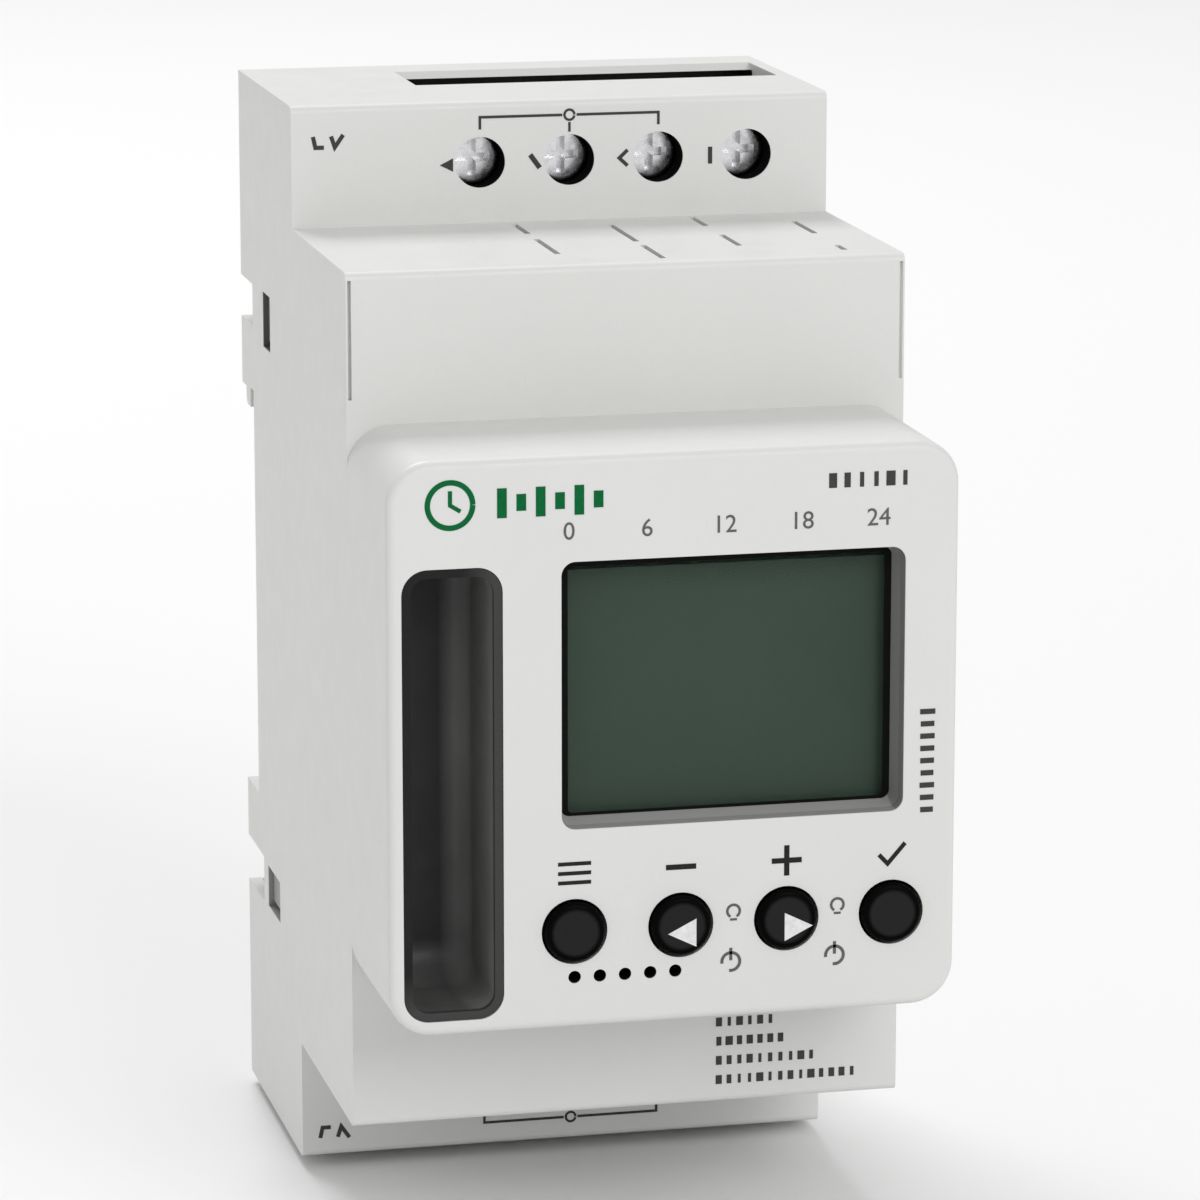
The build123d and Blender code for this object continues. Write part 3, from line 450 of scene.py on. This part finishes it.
window_finish = Finish("clear_window", (0.03, 0.05, 0.04), 0.16, Alpha=0.12,
                       Specular_IOR_Level=0.12)
window_finish.gloss(9 * MM, 0.12, 0.20)
window_finish.grain(12 * MM, 0.01 * MM)

guide_finish = Finish("light_guide", (0.80, 0.86, 0.82), 0.25, Transmission_Weight=0.4)
guide_finish.gloss(1 * MM, 0.2, 0.4)
guide_finish.grain(0.4 * MM, 0.01 * MM)

rubber = Finish("conductive_rubber", (0.30, 0.12, 0.16), 0.6)
stripes = rubber.node("ShaderNodeTexWave", Vector=rubber.place, Scale=2000.0)
rubber.paint(rubber.blend(stripes.outputs["Fac"], (0.30, 0.12, 0.16), (0.03, 0.03, 0.03)))
rubber.grain(0.2 * MM, 0.01 * MM)
print("display finishes ready")

# %% [markdown]
# ## Boards and components
#
# These sit inside and only show through the slots, but the part can be opened, so each
# has its own finish. The solder resist is green with slightly lighter tracks under it,
# which a stepped Voronoi pattern suggests well enough.

# %% Inner finishes
board = Finish("circuit_board", (0.016, 0.11, 0.045), 0.3, Coat_Weight=0.4)
cells = board.node("ShaderNodeTexVoronoi", Vector=board.place, Scale=320.0)
cells.feature = "DISTANCE_TO_EDGE"
tracks = board.spread(cells.outputs["Distance"], 1.0, 0.0, start=0.06, end=0.09)
board.paint(board.blend(tracks, (0.014, 0.095, 0.04), (0.03, 0.17, 0.07)))
board.relief(tracks, 0.03 * MM)
board.grain(0.3 * MM, 0.004 * MM)

finishes = {
    "housing_plastic": housing,
    "latch_plastic": latch_grey,
    "terminal_plastic": terminal_black,
    "white_frame": frame_white,
    "black_plastic": black,
    "lcd_glass": panel_finish,
    "clear_window": window_finish,
    "light_guide": guide_finish,
    "conductive_rubber": rubber,
    "circuit_board": board,
    "relay_case": moulded("relay_case", (0.018, 0.018, 0.02), roughness=0.3, grain=0.3),
    "capacitor_case": cast_epoxy("capacitor_case", (0.50, 0.33, 0.05)),
    "capacitor_sleeve": cast_epoxy("capacitor_sleeve", (0.02, 0.025, 0.05), 0.25),
    "varistor_epoxy": cast_epoxy("varistor_epoxy", (0.02, 0.07, 0.25)),
    "resistor_coat": cast_epoxy("resistor_coat", (0.10, 0.17, 0.12), 0.6),
    "chip_epoxy": moulded("chip_epoxy", (0.012, 0.012, 0.013), roughness=0.5, grain=0.08),
    "battery_steel": plated("battery_steel", (0.62, 0.61, 0.58), 0.28),
    "spring_steel": plated("spring_steel", (0.50, 0.50, 0.50), 0.3, stretch=(1, 1, 8)),
    "zinc_steel": plated("zinc_steel", (0.70, 0.70, 0.72), 0.24),
    "contact_copper": plated("contact_copper", (0.72, 0.60, 0.40), 0.32, stretch=(1, 1, 6)),
}
for part in frame["record"]["subparts"]:
    target = nodes[part["node"]]
    target.data.materials.clear()
    target.data.materials.append(finishes[part["material_slot"]].material)
nodes["key_slot_liner"].data.materials[0] = liner.material
for name, cap in caps.items():
    nodes[name].data.materials[0] = cap.material
print(len(finishes), "finishes on", len(nodes), "nodes")

# %% [markdown]
# ## The floor
#
# The floor is a matt pale sheet with a drift of colour too slow to notice. It only catches
# the shadow that shows where the object stands.

# %% Floor finish
pale = Finish("floor_pale", (0.86, 0.86, 0.86), 0.7)
pale.tint(0.4, 0.004)
floor.data.materials.append(pale.material)
print("floor is", tuple(round(channel, 2) for channel in pale.colour))

# %% [markdown]
# ## Printing
#
# Pad-printed signs are a film of ink, a few hundredths of a millimetre thick. A bump or an
# image would do in a render, but a thin mesh would also survive if the model were exported.
# Each sign is a list of flat outlines in millimetres, as (x, z) seen from the front. One
# function turns any such list into closed prisms on a front plane.

# %% Outline helpers
INK_HEIGHT = 0.03 * MM
INK_ROOT = 0.01 * MM


def bar(x, z, width, height):
    """A rectangle by its centre."""
    return [(x - width / 2, z - height / 2), (x + width / 2, z - height / 2),
            (x + width / 2, z + height / 2), (x - width / 2, z + height / 2)]


def disc(x, z, radius, sides=24):
    """A filled circle."""
    turns = [2 * math.pi * step / sides for step in range(sides)]
    return [(x + radius * math.cos(turn), z + radius * math.sin(turn)) for turn in turns]


def arc(x, z, radius, start, end, steps=20):
    """Points along a part of a circle, in degrees."""
    turns = [math.radians(start + (end - start) * step / steps) for step in range(steps + 1)]
    return [(x + radius * math.cos(turn), z + radius * math.sin(turn)) for turn in turns]


def stroke(path, width):
    """The outline of a pen line along a path, with mitred corners."""
    points = [Vector(point) for point in path]
    sides = []
    for index, point in enumerate(points):
        before = (point - points[index - 1]).normalized() if index else None
        after = (points[index + 1] - point).normalized() if index + 1 < len(points) else None
        first, second = before or after, after or before
        normal = Vector((-first.y - second.y, first.x + second.x)).normalized()
        reach = width / 2 / max(0.3, normal.dot(Vector((-first.y, first.x))))
        sides.append((point + normal * reach, point - normal * reach))
    left = [tuple(pair[0]) for pair in sides]
    right = [tuple(pair[1]) for pair in reversed(sides)]
    return left + right


def triangle(x, z, size, direction):
    """An arrow head that points left (-1) or right (1)."""
    return [(x + direction * size * 0.55, z), (x - direction * size * 0.45, z + size / 2),
            (x - direction * size * 0.45, z - size / 2)]


def prisms(mesh_data, outlines, front, height=INK_HEIGHT, root=INK_ROOT):
    """Adds one closed prism for each outline to a bmesh."""
    for outline in outlines:
        top = [mesh_data.verts.new((x * MM, front - height, z * MM)) for x, z in outline]
        foot = [mesh_data.verts.new((x * MM, front + root, z * MM)) for x, z in outline]
        mesh_data.faces.new(top)
        mesh_data.faces.new(foot[::-1])
        for index in range(len(outline)):
            after = (index + 1) % len(outline)
            mesh_data.faces.new((top[index], top[after], foot[after], foot[index]))


def make_piece(name, mesh_data, finish, body):
    """Turns a bmesh into a piece that rides on a body."""
    bmesh.ops.recalc_face_normals(mesh_data, faces=mesh_data.faces)
    mesh = bpy.data.meshes.new(name)
    mesh_data.to_mesh(mesh)
    mesh_data.free()
    mesh.materials.append(finish.material)
    piece = bpy.data.objects.new(name, mesh)
    scene.collection.objects.link(piece)
    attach(piece, body)
    return piece


def print_signs(name, outlines, front, finish, body="housing"):
    """A layer of ink on one front."""
    mesh_data = bmesh.new()
    prisms(mesh_data, outlines, front)
    piece = make_piece(name, mesh_data, finish, body)
    print(name, len(outlines), "outlines,", len(piece.data.polygons), "faces")
    return piece


def ink(name, colour):
    """Matt printing ink with a slightly broken surface."""
    finish = Finish(name, colour, 0.7, Specular_IOR_Level=0.06)
    finish.tint(0.4 * MM, 0.2)
    finish.grain(0.08 * MM, 0.006 * MM)
    return finish


dark_ink = ink("dark_ink", (0.022, 0.022, 0.022))
grey_ink = ink("grey_ink", (0.12, 0.12, 0.12))
green_ink = ink("green_ink", (0.004, 0.125, 0.036))
pale_ink = ink("pale_ink", (0.74, 0.74, 0.74))
small_ink = ink("small_ink", (0.055, 0.055, 0.055))
# Near-black ink for the display's border, which is partly print and partly painted shade.
border_ink_and_shade = ink("border_ink_and_shade", (0.005, 0.006, 0.005))

# %% [markdown]
# ## Signs on the nose
#
# Above the display runs an hour scale in figures. Below it, each button has a sign:
# three lines open the menu, minus and plus change a value, and a tick confirms it.
# Two small lamp signs show which output a button can switch by hand.

# %% Nose signs
SIGN_Z = button_z + 4.65
PEN = 0.34


def lamp_sign(x, z):
    """A lamp above a pointing finger: switch this output by hand."""
    lamp = stroke(arc(x, z + 0.35, 0.5, -60, 240), 0.2)
    cap = bar(x, z - 0.32, 0.55, 0.18)
    hand = stroke(arc(x - 0.2, z - 3.7, 0.72, -100, 190), 0.24)
    finger = stroke([(x - 0.2, z - 3.6), (x - 0.2, z - 2.6)], 0.24)
    return [lamp, cap, hand, finger]


menu = [bar(button_x["menu"], SIGN_Z + step * 0.75, 2.6, 0.3) for step in (-1, 0, 1)]
minus = [bar(button_x["minus"], SIGN_Z, 2.4, 0.42)]
plus = [bar(button_x["plus"], SIGN_Z, 2.4, 0.42),
        bar(button_x["plus"], SIGN_Z + 0.71, 0.42, 1.0),
        bar(button_x["plus"], SIGN_Z - 0.71, 0.42, 1.0)]
tick_x = button_x["ok"]
tick = [stroke([(tick_x - 1.0, SIGN_Z), (tick_x - 0.3, SIGN_Z - 0.75),
                (tick_x + 1.1, SIGN_Z + 0.85)], PEN)]
print_signs("button_signs", menu + minus + plus + tick, NOSE_FRONT, dark_ink)
lamps = lamp_sign(button_x["minus"] + 4.2, button_z + 0.5)
lamps += lamp_sign(button_x["plus"] + 4.1, button_z + 0.5)
print_signs("hand_switch_signs", lamps, NOSE_FRONT, grey_ink)

# %% [markdown]
# ## Arrow heads
#
# Two caps carry a pale arrow head. Each is printed on the cap itself, so it rides on that
# button's body and goes in with it when the button is pressed.

# %% Triangles on two of the buttons
for key, direction, aside in (("minus", -1, 0.1), ("plus", 1, 0.75)):
    button_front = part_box(f"button_{key}")[0].y
    head = triangle(button_x[key] + aside, button_z - 0.55, 2.25, direction)
    print_signs(f"{key}_arrow", [head], button_front, pale_ink, body=f"{key}_key")

# %% [markdown]
# ## Figures
#
# Blender's own font gives the hour figures. A text object is a curve, so it is turned
# into a mesh first, then scaled to its printed height and stood up on the front.

# %% Hour scale
FIGURE_HEIGHT = 1.35


def add_figures(mesh_data, words, x, z, height, front):
    """Adds raised figures to a bmesh, centred on x and standing on z."""
    curve = bpy.data.curves.new("figures", "FONT")
    curve.body = words
    curve.align_x = "CENTER"
    curve.resolution_u = 4
    curve.extrude = 0.5
    text = bpy.data.objects.new("figures", curve)
    scene.collection.objects.link(text)
    bpy.context.view_layer.update()
    flat = bpy.data.meshes.new_from_object(text.evaluated_get(
        bpy.context.evaluated_depsgraph_get()))
    tall = max(vertex.co.y for vertex in flat.vertices)
    scale = height * MM / tall
    stand = Matrix(((scale, 0, 0, x * MM),
                    (0, 0, -(INK_HEIGHT + INK_ROOT), front - (INK_HEIGHT - INK_ROOT) / 2),
                    (0, scale, 0, z * MM),
                    (0, 0, 0, 1)))
    flat.transform(stand)
    mesh_data.from_mesh(flat)
    bpy.data.objects.remove(text)
    bpy.data.meshes.remove(flat)


figures = bmesh.new()
scale_left = window_low.x / MM + 1.6
HOUR_PITCH = 6.1
for place, hour in enumerate((0, 6, 12, 18, 24)):
    add_figures(figures, str(hour), scale_left + place * HOUR_PITCH, window_high.z / MM + 0.75,
                FIGURE_HEIGHT, NOSE_FRONT)
bmesh.ops.remove_doubles(figures, verts=figures.verts, dist=1e-7)
hour_scale = make_piece("hour_scale", figures, grey_ink, "housing")
print("hour scale:", len(hour_scale.data.polygons), "faces")

# %% [markdown]
# ## Black border of the display
#
# A frame is printed in black round the display, so that the edge of the glass and its
# contacts can't be seen. The ring is partly print and partly painted shade: it also stands
# for the shade in the gap along the right and upper edges of the opening. Seen from the left
# and above, the opening hides most of its left and upper bands. The ring is made from two
# rounded outlines with the same number of points, joined by strips.

# %% Display border


def rounded_outline(x, z, radius, steps=6):
    """A rectangle with rounded corners between two values of x and of z."""
    corners = ((x[1] - radius, z[1] - radius, 0), (x[0] + radius, z[1] - radius, 90),
               (x[0] + radius, z[0] + radius, 180), (x[1] - radius, z[0] + radius, 270))
    points = []
    for corner_x, corner_z, start in corners:
        points += arc(corner_x, corner_z, radius, start, start + 90, steps)
    return points


def print_frame(name, outer, inner, front, finish):
    """A closed flat ring between two outlines."""
    mesh_data = bmesh.new()
    loops = [[mesh_data.verts.new((x * MM, y, z * MM)) for x, z in outline]
             for outline in (outer, inner) for y in (front - INK_HEIGHT, front + INK_ROOT)]
    outer_top, outer_foot, inner_top, inner_foot = loops
    for first, second in ((outer_top, inner_top), (inner_top, inner_foot),
                          (inner_foot, outer_foot), (outer_foot, outer_top)):
        for index in range(len(first)):
            after = (index + 1) % len(first)
            mesh_data.faces.new((first[index], first[after], second[after], second[index]))
    return make_piece(name, mesh_data, finish, "housing")


OPENING_INSET = 1.46        # from the window's hidden edge to the edge of the opening
BAND = {"left": 0.58, "right": 0.55, "bottom": 0.24, "top": 0.42}
open_x = (window_low.x / MM + OPENING_INSET, window_high.x / MM - OPENING_INSET)
open_z = (window_low.z / MM + OPENING_INSET, window_high.z / MM - OPENING_INSET)
border = print_frame(
    "display_border", rounded_outline(open_x, open_z, 0.7),
    rounded_outline((open_x[0] + BAND["left"], open_x[1] - BAND["right"]),
                    (open_z[0] + BAND["bottom"], open_z[1] - BAND["top"]), 0.35),
    window_low.y, border_ink_and_shade)
print("border ring", len(border.data.polygons), "faces")

# %% [markdown]
# ## Rows of dashes
#
# Ratings and a type line are small print that nobody reads from here, so plain dashes
# stand for them. They repeat with random lengths, which is work for Geometry Nodes: a
# grid of points, a cube on each, a seeded random width, then real geometry at the end so
# that it can be exported.

# %% Geometry Nodes helpers


def new_tree(name, inputs):
    """A geometry tree with named inputs and a geometry output."""
    tree = bpy.data.node_groups.new(name, "GeometryNodeTree")
    for label, kind, value in inputs:
        socket = tree.interface.new_socket(name=label, in_out="INPUT", socket_type=kind)
        if value is not None:
            socket.default_value = value
    tree.interface.new_socket(name="Geometry", in_out="OUTPUT", socket_type="NodeSocketGeometry")
    return tree, tree.nodes.new("NodeGroupInput"), tree.nodes.new("NodeGroupOutput")


def wire(tree, source, target):
    """Links two sockets."""
    tree.links.new(source, target)


def finish_tree(tree, source, given, output):
    """Realize Instances, Set Material, out."""
    real = tree.nodes.new("GeometryNodeRealizeInstances")
    paint = tree.nodes.new("GeometryNodeSetMaterial")
    wire(tree, source, real.inputs["Geometry"])
    wire(tree, real.outputs["Geometry"], paint.inputs["Geometry"])
    wire(tree, given.outputs["Material"], paint.inputs["Material"])
    wire(tree, paint.outputs["Geometry"], output.inputs["Geometry"])


def grow(tree, name, body, values):
    """Runs a tree once and keeps the result as a plain mesh."""
    piece = bpy.data.objects.new(name, bpy.data.meshes.new(name))
    scene.collection.objects.link(piece)
    modifier = piece.modifiers.new("grow", "NODES")
    modifier.node_group = tree
    for item in tree.interface.items_tree:
        if item.in_out == "INPUT" and item.name in values:
            modifier[item.identifier] = values[item.name]
    mesh = bpy.data.meshes.new_from_object(piece.evaluated_get(
        bpy.context.evaluated_depsgraph_get()))
    piece.modifiers.remove(modifier)
    piece.data = mesh
    mesh.name = name
    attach(piece, body)
    print(name, len(mesh.polygons), "faces")
    return piece


# %% [markdown]
# ## One block of small print
#
# A block has columns and rows at two pitches. The seed is an input, so each line has its
# own dashes and they come out the same on every run. The flat grid is stood up at the end.

# %% A block of dashes
dash_tree, given, output = new_tree("dash_block", [
    ("Columns", "NodeSocketInt", 5), ("Rows", "NodeSocketInt", 4),
    ("Pitch X", "NodeSocketFloat", 2.0), ("Pitch Z", "NodeSocketFloat", 1.3),
    ("Shortest", "NodeSocketFloat", 0.9), ("Longest", "NodeSocketFloat", 1.6),
    ("Pen", "NodeSocketFloat", 0.4), ("Thickness", "NodeSocketFloat", 0.04),
    ("Corner", "NodeSocketVector", (0, 0, 0)), ("Seed", "NodeSocketInt", 3),
    ("Material", "NodeSocketMaterial", None)])


def grid_extent(tree, count, pitch):
    """(count - 1) x pitch, the length of a row of points."""
    gaps = tree.nodes.new("ShaderNodeMath")
    gaps.operation = "SUBTRACT"
    gaps.inputs[1].default_value = 1
    wire(tree, count, gaps.inputs[0])
    length = tree.nodes.new("ShaderNodeMath")
    length.operation = "MULTIPLY"
    wire(tree, gaps.outputs[0], length.inputs[0])
    wire(tree, pitch, length.inputs[1])
    return length.outputs[0]


grid = dash_tree.nodes.new("GeometryNodeMeshGrid")
wire(dash_tree, given.outputs["Columns"], grid.inputs["Vertices X"])
wire(dash_tree, given.outputs["Rows"], grid.inputs["Vertices Y"])
wire(dash_tree, grid_extent(dash_tree, given.outputs["Columns"], given.outputs["Pitch X"]),
     grid.inputs["Size X"])
wire(dash_tree, grid_extent(dash_tree, given.outputs["Rows"], given.outputs["Pitch Z"]),
     grid.inputs["Size Y"])
random_length = dash_tree.nodes.new("FunctionNodeRandomValue")
random_length.data_type = "FLOAT"
wire(dash_tree, given.outputs["Shortest"], random_length.inputs[2])
wire(dash_tree, given.outputs["Longest"], random_length.inputs[3])
wire(dash_tree, given.outputs["Seed"], random_length.inputs["Seed"])
dash_size = dash_tree.nodes.new("ShaderNodeCombineXYZ")
wire(dash_tree, random_length.outputs[1], dash_size.inputs["X"])
wire(dash_tree, given.outputs["Pen"], dash_size.inputs["Y"])
wire(dash_tree, given.outputs["Thickness"], dash_size.inputs["Z"])
dash = dash_tree.nodes.new("GeometryNodeMeshCube")
dash.inputs["Size"].default_value = (1, 1, 1)
spread = dash_tree.nodes.new("GeometryNodeInstanceOnPoints")
wire(dash_tree, grid.outputs["Mesh"], spread.inputs["Points"])
wire(dash_tree, dash.outputs["Mesh"], spread.inputs["Instance"])
wire(dash_tree, dash_size.outputs["Vector"], spread.inputs["Scale"])
stand_up = dash_tree.nodes.new("GeometryNodeTransform")
stand_up.inputs["Rotation"].default_value = (math.radians(90), 0, 0)
wire(dash_tree, spread.outputs["Instances"], stand_up.inputs["Geometry"])
wire(dash_tree, given.outputs["Corner"], stand_up.inputs["Translation"])
finish_tree(dash_tree, stand_up.outputs["Geometry"], given, output)


def dash_block(name, columns, rows, centre, front, finish, seed, pitch=(2.0, 1.3),
               lengths=(0.9, 1.6), pen=0.42):
    """Dashes for small print, centred on a point of a front."""
    return grow(dash_tree, name, "housing", {
        "Columns": columns, "Rows": rows, "Pitch X": pitch[0] * MM, "Pitch Z": pitch[1] * MM,
        "Shortest": lengths[0] * MM, "Longest": lengths[1] * MM, "Pen": pen * MM,
        "Thickness": INK_HEIGHT + INK_ROOT,
        "Corner": (centre[0] * MM, front - (INK_HEIGHT - INK_ROOT) / 2, centre[1] * MM),
        "Seed": seed, "Material": finish.material})


RATING_LEFT, RATING_TOP, RATING_STEP, DASH_PITCH = 7.6, -27.75, 1.62, 0.86
for line, dashes in enumerate((6, 7, 10, 14)):
    middle_x = RATING_LEFT + (dashes - 1) * DASH_PITCH / 2
    dash_block(f"rating_line_{line + 1}", dashes, 1, (middle_x, RATING_TOP - line * RATING_STEP),
               SHOULDER_FRONT, small_ink, seed=4 + line, pitch=(DASH_PITCH, 1.0),
               lengths=(0.22, 0.62), pen=0.74)
dash_block("type_line", 6, 1, (15.2, 19.7), NOSE_FRONT, small_ink, seed=7,
           pitch=(1.15, 1.0), lengths=(0.3, 0.75), pen=1.15)
dash_block("side_line", 1, 9, (20.1, -2.8), NOSE_FRONT, small_ink, seed=2,
           pitch=(1.0, 0.98), lengths=(0.95, 1.25), pen=0.42)

# %% [markdown]
# ## A plain clock in green
#
# The upper left corner carries a green mark. Here it is only a clock face with two
# hands and a short row of time marks, which says what the device is.

# %% Green clock
CLOCK_X, CLOCK_Z = -17.6, 19.1
clock = [stroke(arc(CLOCK_X, CLOCK_Z, 1.75, 0, 359, 40), 0.42),
         stroke([(CLOCK_X, CLOCK_Z + 1.1), (CLOCK_X, CLOCK_Z), (CLOCK_X + 0.8, CLOCK_Z - 0.5)], 0.32)]
marks = [bar(CLOCK_X + 4.0 + step * 1.5, CLOCK_Z, 0.75, 2.3 if step % 2 == 0 else 1.3)
         for step in range(6)]
print_signs("clock_sign", clock + marks, NOSE_FRONT, green_ink)

# %% [markdown]
# ## Terminal signs
#
# Each row of screws is labelled with its contact: a bracket joins the two outer contacts
# of a changeover switch, and a small circle marks the common one between them. The lower
# row is the same set of signs upside down.

# %% Terminal signs


def terminal_signs(side):
    """Signs for the upper (1) or the lower (-1) row."""
    line_z = side * (screw_z + (3.7 if side > 0 else 3.05))
    drop = side * 1.0
    first, common, third, last = screw_x
    signs = [stroke([(first, line_z - drop), (first, line_z), (common - 0.6, line_z)], 0.22),
             stroke([(common + 0.6, line_z), (third, line_z), (third, line_z - drop)], 0.22),
             stroke(arc(common, line_z, 0.42, 0, 350), 0.2),
             bar(common, line_z - side * 1.0, 0.2, 0.8)]
    row = side * screw_z
    signs += [triangle(first - 2.75, row - 0.15, 1.1, -1),
              stroke([(common - 3.3, row + 0.5), (common - 2.5, row - 0.6)], 0.42),
              stroke([(third - 2.6, row + 0.65), (third - 3.3, row), (third - 2.6, row - 0.65)], 0.3),
              bar(last - 3.1, row, 0.36, 1.4)]
    edge, base = (-19.7, 41.1) if side > 0 else (-20.0, 42.0)
    signs += [stroke([(edge - 1.0, side * (base + 0.9)), (edge - 0.8, side * base),
                      (edge - 0.1, side * base)], 0.34),
              stroke([(edge + 0.5, side * (base + 0.9)), (edge + 0.8, side * base),
                      (edge + 1.5, side * (base + 1.0))], 0.34)]
    return signs


for label, side in (("upper", 1), ("lower", -1)):
    print_signs(f"terminal_signs_{label}", terminal_signs(side), SHROUD_FRONT, small_ink)

# %% [markdown]
# ## Pins in a row
#
# The pins of a header are bars at an even pitch. One small tree makes them: a mesh line
# from where the row starts, and a bar on each of its points.

# %% A row of bars
row_tree, given, output = new_tree("bar_row", [
    ("Count", "NodeSocketInt", 8), ("Step", "NodeSocketVector", (0, 0, 0.00254)),
    ("Start", "NodeSocketVector", (0, 0, 0)), ("Bar", "NodeSocketVector", (0.0006, 0.01, 0.0006)),
    ("Material", "NodeSocketMaterial", None)])
line = row_tree.nodes.new("GeometryNodeMeshLine")
wire(row_tree, given.outputs["Count"], line.inputs["Count"])
wire(row_tree, given.outputs["Start"], line.inputs["Start Location"])
wire(row_tree, given.outputs["Step"], line.inputs["Offset"])
one_bar = row_tree.nodes.new("GeometryNodeMeshCube")
wire(row_tree, given.outputs["Bar"], one_bar.inputs["Size"])
on_line = row_tree.nodes.new("GeometryNodeInstanceOnPoints")
wire(row_tree, line.outputs["Mesh"], on_line.inputs["Points"])
wire(row_tree, one_bar.outputs["Mesh"], on_line.inputs["Instance"])
finish_tree(row_tree, on_line.outputs["Instances"], given, output)


def bar_row(name, count, start, step, size, finish):
    """Bars at an even pitch on the housing, all measures in millimetres."""
    return grow(row_tree, name, "housing", {
        "Count": count, "Start": [value * MM for value in start],
        "Step": [value * MM for value in step], "Bar": [value * MM for value in size],
        "Material": finish.material})


# %% [markdown]
# ## Pins of the two boards
#
# Each board gets one row of square pins that go through it and into its header. Their X
# comes from the header's box and their depth from the board's, and the row is centred.

# %% Header pins between the boards
PINS, PIN_PITCH, PIN_WIDTH, PIN_LENGTH = 8, 2.54, 0.64, 3.7
PIN_LEAN = 1.05              # how far a pin's middle sits from the board's, on the header's side
header_x = middle("pin_headers").x / MM
for board_name, side in (("power_board", -1), ("display_board", 1)):
    start = (header_x, middle(board_name).y / MM + side * PIN_LEAN, -(PINS - 1) / 2 * PIN_PITCH)
    bar_row(f"{board_name}_pins", PINS, start, (0, 0, PIN_PITCH),
            (PIN_WIDTH, PIN_LENGTH, PIN_WIDTH), finishes["contact_copper"])
